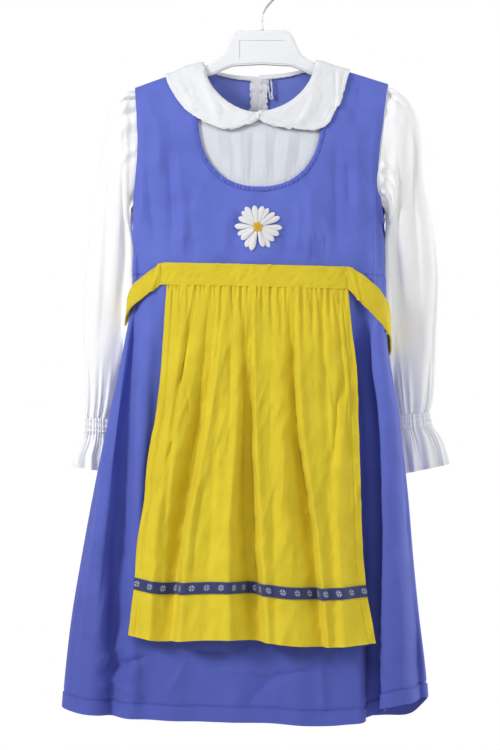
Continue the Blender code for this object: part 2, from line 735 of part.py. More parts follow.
def skirt_panel(blue, side):
    """The pinafore's skirt in front (-1) or behind (1), with its folds."""
    turn = np.radians(np.unique(np.concatenate([np.linspace(*part) for part in SKIRT_TURNS[side]])))
    top = WAIST_DROP + SEAM_GAP
    shares = np.array([0, 0.07, 0.17, 0.29, 0.42, 0.56, 0.70, 0.84, 1.0])[:, None]
    hem = read(FRONT_HEM if side < 0 else BACK_HEM, "drop", np.degrees(turn), key="turn")
    drop = top + (hem - top) * shares
    points = cloth(np.sin(turn) * half_width(turn, drop), drop, side)
    low, high = [-9, -9, -9], [9, 9, -top]
    if side < 0:
        high[1] = -SEAM_GAP / 2
    else:
        low[1] = SEAM_GAP / 2
    name = "skirt_front" if side < 0 else "skirt_back"
    return wall(name, blue, points, facing=(0, side, 0), low=low, high=high)


def blouse_front(white):
    """The white blouse front behind the scooped neck, sewn in 9 mm inside its edge."""
    lines = []
    for edge, grow in ((scoop_edge, 0.009), (lambda hand, grow: neck_edge(hand, -1, grow), NECK_SEAM)):
        halves = [stations(edge(hand, grow=grow), 11, start=(0.014,)) for hand in (-1, 1)]
        lines.append(joined(halves[0], back_to_front(halves[1])))
    x, drop = fan(lines[0], lines[1], (0, 0.2, 0.4, 0.6, 0.8, 1))
    return wall("blouse_front", white, cloth(x, drop, -1), out=-CLOTH - LAYER_GAP - 0.001, thick=0.001)


def draped(x, drop, side, lift=0.0):
    """Points lift off the pinafore's outer face at (x, drop)."""
    step = 0.0004
    here = cloth(x, drop, side, folded=False)
    right = cloth(x + step, drop, side, folded=False)
    down = cloth(x, drop + step, side, folded=False)
    normal = np.cross(right - here, down - here)
    normal /= np.linalg.norm(normal, axis=-1, keepdims=True)
    normal *= np.where((normal[..., 1] * side) < 0, -1, 1)[..., None]
    return here + normal * lift


def round_neck(hand, grow, counts):
    """Points on the cloth along half the neck's edge, from the front's middle to the back's."""
    parts = []
    for side, count in zip((-1, 1), counts):
        x, drop = stations(neck_edge(hand, side, grow), count)
        parts.append(cloth(x, drop, side, folded=False))
    return np.concatenate([parts[0][::-1], parts[1][1:]])


def neck_binding(white):
    """The narrow white binding round the neck, open at the slit behind."""
    halves = [round_neck(hand, 0.0, (11, 9)) for hand in (-1, 1)]
    for hand, half in zip((-1, 1), halves):
        half[-1, 0] = MIDDLE + hand * BACK_SLIT_HALF * 2
    path = np.concatenate([halves[0][::-1], halves[1][1:]])
    return tube("neck_binding", white, path, BINDING_RADIUS, sides=6)


def collar(white, hand):
    """One flat half of the collar, from the middle of the front over the shoulder to the slit."""
    counts = (13, 11)
    edges = []
    for side, count, outline in zip((-1, 1), counts, (COLLAR_FRONT, COLLAR_BACK)):
        line = smooth_line(np.stack([outline[hand]["x"], outline[hand]["drop"]], axis=1), 200)
        line[0, 1] = ridge_drop(line[0, 0])
        outer = stations((line[:, 0], line[:, 1]), count)
        inner_x, inner_drop = neck_edge(hand, side, NECK_SEAM)
        near = MIDDLE + hand * (0.0012 if side < 0 else 0.0045)
        keep = (inner_x - near) * hand > 0
        inner = stations((inner_x[keep], inner_drop[keep]), count)
        edges.append((outer, inner, side))
    rows = []
    for share in (0, 0.33, 0.67, 1):
        parts = []
        for outer, inner, side in edges:
            far, close = (from_crest(*line) for line in (outer, inner))
            x = inner[0] + (outer[0] - inner[0]) * share
            drop = below_crest(x, close + (far - close) * share)
            parts.append(cloth(x, drop, side, folded=False))
        rows.append(np.concatenate([parts[0][::-1], parts[1][1:]]))
    points = np.array(rows)
    facing = points * (0, 40, 0) + (0, 0, 1.0)
    name = "collar_left" if hand < 0 else "collar_right"
    return wall(name, white, points, out=0.0012, thick=0.0014, facing=facing)


def sleeve_rings(columns, hand, around, shares, inside=False):
    """Rings of a sleeve: each an oval from the inner to the outer line seen from the front."""
    at = np.linspace(0, 1, len(columns["out_x"]))
    angle = 2 * math.pi * np.arange(around) / around
    rings = []
    for t in shares:
        row = {name: float(smooth(at, column, np.array(t))) for name, column in columns.items()}
        outer = np.array([row["out_x"], -row["out_drop"]])
        inner = np.array([row["in_x"], -row["in_drop"]])
        middle, reach = (outer + inner) / 2, (outer - inner) / 2
        flat = middle + np.cos(angle)[:, None] * reach
        y = row["behind"] - row["deep"] * np.sin(angle)
        if inside:
            y = inside_armhole(flat, y, hand, 1 - ease((t - 0.10) / 0.08))
        rings.append(np.stack([hand * flat[:, 0], y, flat[:, 1]], axis=1))
    return np.array(rings), angle


def inside_armhole(flat, y, hand, held_share):
    """Keeps the sleeve's first rings inside the armhole that they are sewn into."""
    drop = np.clip(-flat[:, 1], SHOULDER_DROP, UNDERARM_DROP)
    for side in (-1, 1):
        edge = np.abs(armhole_x(drop, hand, side))
        room = cloth_depth(hand * edge, drop, side) - CLOTH - LAYER_GAP
        held = side * np.minimum(side * y, np.maximum(room, 0.001))
        past = ease((np.abs(flat[:, 0]) - edge - 0.004) / 0.012)
        y = y + (held - y) * (1 - past) * held_share
    return y


def sleeve(white, hand):
    """A long sleeve, gathered at its head, hanging creased down to the elastic."""
    around = 20
    shares = np.array([0, 0.045, 0.085, 0.14, 0.21, 0.30, 0.40, 0.50, 0.60, 0.70, 0.80, 0.90, 1])
    rings, angle = sleeve_rings(SLEEVES[hand], hand, around, shares, inside=True)
    away = rings - rings.mean(axis=1, keepdims=True)
    away /= np.linalg.norm(away, axis=2, keepdims=True)
    ring_at = shares * (len(SLEEVES[hand]["out_x"]) - 1)
    degrees = np.degrees(angle)
    shift = np.zeros(rings.shape[:2])
    for i in range(len(SLEEVE_CREASES["angle"])):
        row = {name: column[i] for name, column in SLEEVE_CREASES.items()}
        gap = (degrees - row["angle"] + 180) % 360 - 180
        run = ease((ring_at - row["first"]) / 2) * ease((row["last"] - ring_at) / 2)
        shift += row["deep"] * np.exp(-((gap / row["wide"]) ** 2)) * run[:, None]
    rings += away * shift[..., None]
    name = "sleeve_left" if hand < 0 else "sleeve_right"
    return wall(name, white, rings, loop=True, level_rows=(-1,))


def cuff(white, hand):
    """The elastic casing above the frill."""
    rings, _ = sleeve_rings(CUFFS[hand], hand, 20, np.linspace(0, 1, 3))
    name = "cuff_left" if hand < 0 else "cuff_right"
    return wall(name, white, rings, loop=True, out=-0.0016, thick=0.0016, level_rows=(0, -1))


def frill(white, hand):
    """The frill below the elastic, waving more towards its edge."""
    around = FRILL_WAVES * 4
    rings, angle = sleeve_rings(FRILLS[hand], hand, around, np.linspace(0, 1, 4))
    away = rings - rings.mean(axis=1, keepdims=True)
    away /= np.linalg.norm(away, axis=2, keepdims=True)
    growth = np.linspace(0, 1, len(rings))[:, None]
    wave = FRILL_WAVE_DEPTH * (0.15 + 0.85 * growth) * np.cos(angle * FRILL_WAVES)
    rings += away * wave[..., None]
    name = "frill_left" if hand < 0 else "frill_right"
    return wall(name, white, rings, loop=True, level_rows=(0,))


def waistband(yellow):
    """The apron's waistband across the front of the waist seam."""
    x = np.linspace(BAND_LEFT, BAND_RIGHT, 21)
    points = np.array([draped(x, band_drop(x, share), -1) for share in (0, 0.5, 1)])
    out = LAYER_GAP + 0.0006
    return wall("apron_waistband", yellow, points, out=out, thick=BAND_THICK, level_rows=(0, -1))


def band_drop(x, share):
    """The drop of a place on the waistband, which slopes a little down to the right."""
    return BAND_TOP + BAND_FALL * (x - BAND_LEFT) + BAND_HEIGHT * share


def apron_points(share, drop_share):
    """Points of the apron's outer face; share runs across, drop_share down."""
    top = band_drop(BAND_LEFT + (BAND_RIGHT - BAND_LEFT) * share, 1) + SEAM_GAP
    hem = read(APRON_HEM, "drop", share, key="share")
    drop = top + (hem - top) * drop_share
    left, right = read(APRON_SIDES, "left", drop), read(APRON_SIDES, "right", drop)
    x = left + (right - left) * share
    off = read(APRON_SIDES, "off", drop)
    settled = 0.6 + 0.4 * ease(np.minimum(share, 1 - share) / 0.10)
    depth = cloth_depth(x, drop, -1) + off * settled - valley_depth(x, drop)
    return np.stack([x, -depth, -drop], axis=-1)


def valley_depth(x, drop):
    """How deep the apron's gathers fall at a place."""
    total = np.zeros_like(x)
    drops = np.array(VALLEY_DROPS)
    down = np.clip((drop - drops[0]) / (drops[-1] - drops[0]), 0, 1)
    for i in range(len(APRON_VALLEYS["x0"])):
        row = {name: column[i] for name, column in APRON_VALLEYS.items()}
        middle = smooth(drops, np.array([row[f"x{k}"] for k in range(4)]), drop)
        deep = smooth(drops, np.array([row[f"d{k}"] for k in range(4)]), drop)
        wide = row["wide_top"] + (row["wide_hem"] - row["wide_top"]) * down**0.6
        total += deep * np.exp(-np.abs((x - middle) / wide) ** 2.2)
    return total


def apron(yellow):
    """The gathered apron, hung from the waistband."""
    share = np.linspace(0, 1, 61)
    down = (0, 0.05, 0.13, 0.25, 0.39, 0.54, 0.69, *TRIM_SHARES, 1.0)
    points = np.array([apron_points(share, d) for d in down])
    return wall("apron_skirt", yellow, points, level_rows=(0,))


def apron_trim(ribbon):
    """The woven ribbon stitched on above the apron's hem."""
    share = np.linspace(0, 1, 61)
    points = np.array([apron_points(share, d) for d in TRIM_SHARES])
    return wall("apron_trim", ribbon, points, out=LAYER_GAP, thick=0.001)


def tie(yellow, hand):
    """A tie from the end of the waistband round the side to the knot behind."""
    columns = TIES[hand]
    at = np.linspace(0, 1, len(columns["turn"]))
    t = np.linspace(0, 1, 25)
    turn = np.radians(smooth(at, columns["turn"], t))
    top, bottom = smooth(at, columns["top"], t), smooth(at, columns["bottom"], t)
    off = smooth(at, columns["off"], t)
    rows = []
    for share in (0, 0.5, 1):
        drop = top + (bottom - top) * share
        width = read(BODY, "left" if hand < 0 else "right", drop)
        front = np.cos(turn) >= 0
        deep = np.where(front, read(BODY, "front", drop), read(BODY, "back", drop))
        x = hand * np.sin(turn) * (width + off)
        y = np.where(front, -1, 1) * (deep + off) * np.abs(np.cos(turn)) ** BOXINESS
        rows.append(np.stack([x, y, -drop], axis=1))
    points = np.array(rows)
    name = "apron_tie_left" if hand < 0 else "apron_tie_right"
    return wall(name, yellow, points, facing=points * (1, 1, 0), out=0, thick=FOLDED_CLOTH)


def knot_centre():
    depth = read(BODY, "back", np.array(KNOT_DROP)) + 0.0150
    return np.array([MIDDLE, float(depth), -KNOT_DROP])


def tie_knot(yellow):
    """The knot of the two ties at the middle of the back."""
    bm = bmesh.new()
    bmesh.ops.create_uvsphere(bm, u_segments=14, v_segments=9, radius=1.0)
    for vert in bm.verts:
        vert.co = [m + c * h for m, c, h in zip(knot_centre(), vert.co, KNOT_HALF)]
    return closed_body("tie_knot", bm, yellow)


def tie_tail(yellow, hand):
    """A tie's free end, hanging from the knot over the back of the skirt."""
    down = np.linspace(0, 1, 12)
    swing = hand * (0.0052 + 0.0330 * down**1.1)
    half = 0.0044 + (TIE_WIDTH / 2 - 0.0044) * ease(down / 0.18)
    off = 0.0140 + 0.0015 * np.sin(down * 7 + hand) * down
    if hand > 0:
        off = off + 0.0065 * ease(down / 0.10)
    rows = []
    for k in (-1, 0, 1):
        x = swing + k * half
        drop = KNOT_DROP + KNOT_HALF[2] + 2 * SEAM_GAP + TIE_TAIL * down * (1 if hand < 0 else 0.93)
        depth = read(BODY, "back", drop) + off + 0.0022 * k * np.sin(down * 5)
        rows.append(np.stack([MIDDLE + x, depth, -drop], axis=1))
    name = "tie_tail_left" if hand < 0 else "tie_tail_right"
    return wall(name, yellow, np.array(rows), facing=(0, 1, 0), out=0, thick=FOLDED_CLOTH)


def petal_radius(angle):
    """The daisy's outline: round-ended petals of slightly uneven length."""
    wave = np.abs(np.cos(angle * PETALS / 2)) ** 0.55
    uneven = 1 + 0.06 * np.cos(3 * angle + 0.6) + 0.04 * np.cos(5 * angle)
    return DAISY_RADIUS * uneven * (0.72 + 0.28 * wave)


def daisy(white, gold):
    """The daisy sewn on the chest: its petals, and the eye on them."""
    around = PETALS * 4
    angle = 2 * math.pi * np.arange(around) / around
    rings = []
    for radius in (np.full(around, DAISY_EYE + 0.0008), petal_radius(angle)):
        x = DAISY_X + radius * np.cos(angle)
        drop = DAISY_DROP - radius * np.sin(angle)
        rings.append(draped(x, drop, -1))
    wall("daisy_petals", white, rings, loop=True, out=LAYER_GAP, thick=0.0016)
    bm = bmesh.new()
    bmesh.ops.create_cone(
        bm, cap_ends=True, segments=14, radius1=DAISY_EYE, radius2=DAISY_EYE * 0.7, depth=0.0030
    )
    middle = draped(np.array(DAISY_X), np.array(DAISY_DROP), -1)
    for vert in bm.verts:
        x, y, z = vert.co
        vert.co = (middle[0] + x, middle[1] - LAYER_GAP - 0.0015 - z, middle[2] + y)
    closed_body("daisy_eye", bm, gold)


def placket(white):
    """The white strip behind the slit, seen inside the neck."""
    x = np.linspace(MIDDLE - 0.0110, MIDDLE + 0.0110, 5)
    top = neck_edge(1, 1, NECK_SEAM)[1][-1]
    drops = np.linspace(top, top + BACK_SLIT_LENGTH + 0.006, 8)
    points = np.array([cloth(x, np.full_like(x, d), 1, folded=False) for d in drops])
    return wall(
        "slit_placket", white, points, facing=(0, 1, 0), out=-2 * CLOTH - LAYER_GAP, thick=CLOTH
    )


def hanging_loop(white):
    """The flat tape loop inside the back of the neck, beside the slit."""
    x = np.linspace(0.0062, 0.0112, 3)
    drops = np.linspace(0.1290, 0.1515, 4)
    points = np.array([cloth(x + 0.08 * (d - drops[0]), np.full_like(x, d), 1, False) for d in drops])
    deep = -3 * CLOTH - 2 * LAYER_GAP
    return wall("hanging_loop", white, points, facing=(0, 1, 0), out=deep, thick=CLOTH)


def neck_button(white):
    """The button that closes the slit at the back of the neck."""
    radius, thick, lift = 0.0045, 0.0022, 0.0036
    centre = cloth(np.array(MIDDLE - 0.0020), np.array(0.1315), 1, folded=False)
    bm = bmesh.new()
    bmesh.ops.create_cone(bm, cap_ends=True, segments=16, radius1=radius, radius2=radius, depth=thick)
    for vert in bm.verts:
        across, up, out = vert.co
        vert.co = (centre[0] + across, centre[1] + lift + thick / 2 + out, centre[2] + up)
    return closed_body("neck_button", bm, white)


def arm_top(x):
    return ridge_drop(x) + ARM_DROP


def hanger(plastic):
    """The hanger: a neck plate with a recessed window, and two sloping arms inside the shoulders."""
    neck = [(0.0, PLATE_TOP), (0.0275, PLATE_TOP), (0.0345, 0.0712), (0.0392, 0.0770)]
    neck += [(0.0440, 0.0880), (0.0490, 0.0985), (0.0560, 0.1040), (0.0630, 0.1085), (0.0680, 0.1130)]
    outline = []
    for hand in (-1, 1):
        arm_x = np.linspace(0.076, ARM_REACH, 5)
        top = [(x, float(arm_top(hand * x))) for x in arm_x]
        tip = [(ARM_REACH + 0.004, top[-1][1] + 0.004), (ARM_REACH + 0.003, top[-1][1] + 0.010)]
        under = [(x, drop + ARM_HEIGHT) for x, drop in top[::-1]]
        under += [(0.060, 0.1250), (0.048, 0.1190), (0.036, 0.1145), (0.0, 0.1125)]
        half = [(hand * x, drop) for x, drop in neck + top + tip + under]
        outline += half if hand > 0 else half[-2:0:-1]
    outline = outline[len(half) - 2 :] + outline[: len(half) - 2]
    bm = bmesh.new()
    face = bm.faces.new([bm.verts.new((x, -HANGER_HALF, -d)) for x, d in outline])
    pushed = bmesh.ops.extrude_face_region(bm, geom=[face])
    for item in pushed["geom"]:
        if isinstance(item, bmesh.types.BMVert):
            item.co.y += 2 * HANGER_HALF
    body = closed_body("hanger", bm, plastic)
    bevel = body.modifiers.new("rounded edges", "BEVEL")
    bevel.width = 0.0018
    bevel.segments = 1
    bevel.angle_limit = math.radians(40)
    for side in (-1, 1):
        cutter = window_cutter(side)
        cut = body.modifiers.new("window", "BOOLEAN")
        cut.operation = "DIFFERENCE"
        cut.solver = "EXACT"
        cut.object = cutter
    return body


def window_cutter(side):
    wide, tall, deep = 0.0570, 0.0225, 0.0015
    bm = bmesh.new()
    bmesh.ops.create_cube(bm, size=1.0)
    for vert in bm.verts:
        x, y, z = vert.co
        place = side * (HANGER_HALF - deep + 0.005)
        vert.co = (x * wide, y * 0.010 + place, z * tall - 0.0935)
    mesh = bpy.data.meshes.new("window_cutter")
    bm.to_mesh(mesh)
    bm.free()
    cutter = bpy.data.objects.new("window_cutter", mesh)
    bpy.context.scene.collection.objects.link(cutter)
    cutter.hide_render = True
    cutter.display_type = "WIRE"
    return cutter


def hanger_stem(plastic):
    """The plastic collar that the hook turns in."""
    bm = bmesh.new()
    height = PLATE_TOP - STEM_TOP - SEAM_GAP
    bmesh.ops.create_cone(bm, cap_ends=True, segments=16, radius1=0.0034, radius2=0.0027, depth=height)
    for vert in bm.verts:
        vert.co.z -= STEM_TOP + height / 2
    return closed_body("hanger_stem", bm, plastic)


def hook(steel):
    """The wire hook: up from the stem, out to the right, over the crown and down to its tip."""
    middle = HOOK_WIRE - HOOK_RADIUS
    points = [(0.0, -STEM_TOP + SEAM_GAP), (0.0002, -0.0545), (0.0012, -0.0485), (0.0045, -0.0420)]
    points += [(0.0105, -0.0345), (0.0165, -0.0285)]
    for degrees in np.linspace(0, 205, 19):
        angle = math.radians(degrees)
        points.append((HOOK_RADIUS * math.cos(angle), middle + HOOK_RADIUS * math.sin(angle)))
    curve = bpy.data.curves.new("hook", "CURVE")
    curve.dimensions = "3D"
    curve.bevel_depth = HOOK_WIRE
    curve.bevel_resolution = 2
    curve.use_fill_caps = True
    spline = curve.splines.new("POLY")
    line = smooth_line(np.array(points), 36)
    spline.points.add(len(line) - 1)
    for point, (x, z) in zip(spline.points, line):
        point.co = (x, 0, z, 1)
    body = bpy.data.objects.new("hook", curve)
    bpy.context.scene.collection.objects.link(body)
    curve.materials.append(steel)
    return body


def smooth_line(points, count):
    """Evenly spaced points on the smooth curve through the given ones."""
    steps = np.concatenate([[0], np.cumsum(np.linalg.norm(np.diff(points, axis=0), axis=1))])
    at = np.linspace(0, steps[-1], count)
    return np.stack([smooth(steps, points[:, k], at) for k in range(points.shape[1])], axis=1)


def main():
    for old in list(bpy.data.objects):
        bpy.data.objects.remove(old)
    blue = cloth_material("blue cotton", (0.105, 0.150, 0.620))
    white = cloth_material("white cotton", (0.86, 0.86, 0.87))
    yellow = cloth_material("yellow cotton", (0.86, 0.66, 0.02))
    ribbon = cloth_material("woven ribbon", (0.045, 0.070, 0.300))
    gold = cloth_material("gold thread", (0.80, 0.52, 0.06))
    plastic = cloth_material("frosted plastic", (0.88, 0.89, 0.92), roughness=0.35, alpha=0.6)
    steel = cloth_material("steel wire", (0.55, 0.55, 0.56), roughness=0.3, metallic=1.0)
    pearl = cloth_material("button", (0.85, 0.85, 0.83), roughness=0.3)
    bodice_front(blue)
    for side in (-1, 1):
        skirt_panel(blue, side)
    for hand in (-1, 1):
        bodice_back(blue, hand)
        collar(white, hand)
        sleeve(white, hand)
        cuff(white, hand)
        frill(white, hand)
        tie(yellow, hand)
        tie_tail(yellow, hand)
    blouse_front(white)
    neck_binding(white)
    placket(white)
    hanging_loop(white)
    neck_button(pearl)
    waistband(yellow)
    apron(yellow)
    apron_trim(ribbon)
    tie_knot(yellow)
    daisy(white, gold)
    hanger(plastic)
    hanger_stem(plastic)
    hook(steel)


main()
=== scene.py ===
"""The looks of a child's folk costume dress on a hanger: fine cloth shells on the solids' own forms, with
their creases, gathers, stitching, woven ribbon and daisy. Metres, +Z up, the front faces -Y."""

import json
import math

import bmesh
import bpy
import numpy as np
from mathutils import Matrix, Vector

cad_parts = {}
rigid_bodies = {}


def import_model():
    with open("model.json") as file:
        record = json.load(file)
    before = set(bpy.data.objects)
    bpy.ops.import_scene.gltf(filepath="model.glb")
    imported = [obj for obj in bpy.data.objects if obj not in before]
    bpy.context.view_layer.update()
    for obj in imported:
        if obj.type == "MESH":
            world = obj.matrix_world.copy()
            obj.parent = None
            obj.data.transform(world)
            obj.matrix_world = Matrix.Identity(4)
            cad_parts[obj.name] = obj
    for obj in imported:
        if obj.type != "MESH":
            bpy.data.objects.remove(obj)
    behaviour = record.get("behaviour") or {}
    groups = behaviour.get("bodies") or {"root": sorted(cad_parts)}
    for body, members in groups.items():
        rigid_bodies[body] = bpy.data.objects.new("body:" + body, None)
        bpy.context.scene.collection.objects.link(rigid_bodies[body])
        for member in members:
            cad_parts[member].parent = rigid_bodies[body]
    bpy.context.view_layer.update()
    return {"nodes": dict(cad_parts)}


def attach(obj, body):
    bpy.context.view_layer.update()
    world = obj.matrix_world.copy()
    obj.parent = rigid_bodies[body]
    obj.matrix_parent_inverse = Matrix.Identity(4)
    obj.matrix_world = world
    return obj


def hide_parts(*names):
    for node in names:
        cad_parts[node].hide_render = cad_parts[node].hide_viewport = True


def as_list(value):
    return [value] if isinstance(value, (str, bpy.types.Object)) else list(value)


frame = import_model()

# Cloth
CLOTH = 0.0012
FOLDED_CLOTH = 0.0018
SEAM_GAP = 0.0003
LAYER_GAP = 0.0009

# Shoulders, which lie over the hanger's arms
MIDDLE = -0.003
NECK_HALF = 0.0705
SHOULDER_DROP = 0.1095
SHOULDER_SLOPE = {-1: 0.372, 1: 0.320}
PEAK_ROUND = 0.03
RIDGE_RADIUS = 0.006
SETTLE = 0.045
BOXINESS = 0.7
UNDERARM_DROP = 0.309
WAIST_DROP = 0.374

# Necks
NECK_FRONT_DEPTH = 0.066
NECK_BACK_DEPTH = 0.0165
NECK_POWER = 1.85
SCOOP_HALF = 0.0785
SCOOP_TOP_HALF = 0.0920
SCOOP_CENTRE_DROP = 0.178
SCOOP_DEPTH = 0.0915
SCOOP_POWER = 2.3
BACK_SLIT_LENGTH = 0.110
BACK_SLIT_HALF = 0.001
NECK_SEAM = 0.0021

# Apron
BAND_LEFT = -0.1222
BAND_RIGHT = 0.1035
BAND_TOP = 0.3605
BAND_HEIGHT = 0.0275
BAND_FALL = 0.0240
BAND_THICK = 0.0024
TIE_WIDTH = 0.026
TIE_TAIL = 0.290
KNOT_DROP = 0.4985
KNOT_HALF = (0.0125, 0.0085, 0.0160)
TRIM_SHARES = (0.8360, 0.8690)

# Daisy
DAISY_DROP = 0.3169
DAISY_X = -0.0056
DAISY_RADIUS = 0.0295
PETALS = 18
DAISY_EYE = 0.0060

# Hanger: its half thickness, and the shallow window in its plate
HANGER_HALF = 0.0035
WINDOW_HALF = 0.0290
WINDOW_Z = (-0.1055, -0.0815)
WINDOW_DEPTH = 0.0008

# Sides are named as the picture shows them.
HAND_NAMES = {-1: "left", 1: "right"}
FACE_NAMES = {-1: "front", 1: "back"}


def table(names, *rows):
    """Named columns from rows of numbers."""
    return dict(zip(names.split(), np.array(rows, float).T))


def each_row(columns):
    """The rows of a table, each with its values by name."""
    for values in zip(*columns.values()):
        yield dict(zip(columns, values))


# Half widths to the wearer's right (left) and left (right) of the middle, and the cloth's depth in front
# and behind, at each drop.
BODY = table(
    "drop left right front back",
    (0.100, 0.1720, 0.1680, 0.034, 0.030),
    (0.219, 0.1720, 0.1680, 0.038, 0.033),
    (0.280, 0.1655, 0.1610, 0.038, 0.034),
    (0.309, 0.1618, 0.1535, 0.038, 0.034),
    (0.331, 0.1620, 0.1545, 0.038, 0.034),
    (0.374, 0.1612, 0.1550, 0.037, 0.033),
    (0.425, 0.1655, 0.1545, 0.040, 0.036),
    (0.4625, 0.1725, 0.1560, 0.043, 0.039),
    (0.500, 0.1800, 0.1612, 0.045, 0.041),
    (0.575, 0.1963, 0.1737, 0.049, 0.046),
    (0.650, 0.2112, 0.1825, 0.053, 0.049),
    (0.725, 0.2250, 0.1887, 0.056, 0.053),
    (0.800, 0.2375, 0.1962, 0.059, 0.056),
    (0.875, 0.2462, 0.2050, 0.061, 0.058),
    (0.945, 0.2515, 0.2095, 0.063, 0.060),
)

# The armholes' edges in front and behind, as a share of the half width there.
ARMHOLE_FRONT = table(
    "drop left right",
    (0.135, 0.9215, 0.9375),
    (0.160, 0.9100, 0.9080),
    (0.180, 0.9012, 0.8930),
    (0.219, 0.9012, 0.8705),
    (0.256, 0.9375, 0.8780),
    (0.280, 0.9680, 0.9200),
    (0.309, 1.0000, 1.0000),
)
ARMHOLE_BACK = table(
    "drop left right",
    (0.135, 0.9215, 0.9375),
    (0.180, 0.9150, 0.9230),
    (0.219, 0.9250, 0.9200),
    (0.256, 0.9500, 0.9450),
    (0.280, 0.9750, 0.9700),
    (0.309, 1.0000, 1.0000),
)

# The hem's drop against the turn round the body, in degrees from the middle.
FRONT_HEM = table(
    "turn drop",
    (-90, 0.9120),
    (-60, 0.9190),
    (-30, 0.9240),
    (0, 0.9266),
    (28, 0.9300),
    (41, 0.9230),
    (46, 0.9110),
    (52, 0.9060),
    (63, 0.9035),
    (75, 0.9000),
    (90, 0.9015),
)
BACK_HEM = table(
    "turn drop",
    (-90, 0.9120),
    (-45, 0.9200),
    (0, 0.9240),
    (45, 0.9300),
    (64, 0.9270),
    (76, 0.9130),
    (90, 0.9015),
)

# Soft folds of the pinafore: the drops where each starts, is full and begins to fade, its middle at
# the start and the hem, its half width there, how far it stands out (or in), and its squareness.
FOLD_COLUMNS = "start full fade x_start x_hem wide_start wide_hem out power"
FRONT_FOLDS = table(
    FOLD_COLUMNS,
    (0.290, 0.480, 2.0, -0.1530, -0.1880, 0.005, 0.011, -0.016, 2.0),
    (0.330, 0.600, 2.0, -0.1360, -0.1640, 0.008, 0.013, 0.008, 2.0),
    (0.420, 0.700, 2.0, -0.1660, -0.2200, 0.007, 0.016, 0.009, 2.0),
    (0.376, 0.540, 2.0, 0.1190, 0.1390, 0.008, 0.011, -0.018, 3.0),
    (0.300, 0.560, 2.0, 0.1450, 0.1700, 0.009, 0.0215, 0.016, 3.0),
    (0.700, 0.820, 2.0, 0.1860, 0.1980, 0.006, 0.009, -0.012, 2.0),
    (0.225, 0.270, 0.33, 0.1480, 0.1620, 0.009, 0.009, -0.005, 2.0),
    (0.820, 0.930, 2.0, 0.0450, 0.0450, 0.014, 0.022, 0.008, 2.0),
    (0.830, 0.930, 2.0, -0.0350, -0.0350, 0.016, 0.024, 0.005, 2.0),
    (0.830, 0.930, 2.0, -0.1100, -0.1100, 0.014, 0.020, 0.006, 2.0),
)
BACK_FOLDS = table(
    FOLD_COLUMNS,
    (0.300, 0.640, 2.0, -0.1250, -0.1750, 0.009, 0.018, -0.013, 2.0),
    (0.390, 0.660, 2.0, -0.0900, -0.1280, 0.010, 0.019, 0.012, 2.0),
    (0.400, 0.700, 2.0, -0.0520, -0.0720, 0.009, 0.017, -0.012, 2.0),
    (0.400, 0.680, 2.0, -0.0150, -0.0220, 0.011, 0.020, 0.010, 2.0),
    (0.390, 0.640, 2.0, 0.0300, 0.0380, 0.009, 0.018, -0.013, 2.0),
    (0.380, 0.700, 2.0, 0.0700, 0.0880, 0.011, 0.019, 0.013, 2.0),
    (0.350, 0.620, 2.0, 0.1080, 0.1400, 0.009, 0.016, -0.011, 2.0),
)
FADE_LENGTH = 0.10

# The apron's side edges, how far its crests stand off the pinafore, and its lower edge.
APRON_SIDES = table(
    "drop left right off",
    (0.3907, -0.1187, 0.1060, 0.0046),
    (0.4409, -0.1215, 0.1106, 0.0085),
    (0.4941, -0.1247, 0.1168, 0.0120),
    (0.5550, -0.1319, 0.1182, 0.0150),
    (0.5981, -0.1401, 0.1194, 0.0165),
    (0.6529, -0.1448, 0.1209, 0.0180),
    (0.7101, -0.1535, 0.1230, 0.0190),
    (0.7547, -0.1568, 0.1268, 0.0200),
    (0.8323, -0.1655, 0.1394, 0.0210),
)
APRON_HEM = table(
    "share drop",
    (0.00, 0.8188),
    (0.13, 0.8257),
    (0.25, 0.8238),
    (0.53, 0.8248),
    (0.66, 0.8302),
    (0.82, 0.8321),
    (1.00, 0.8287),
)

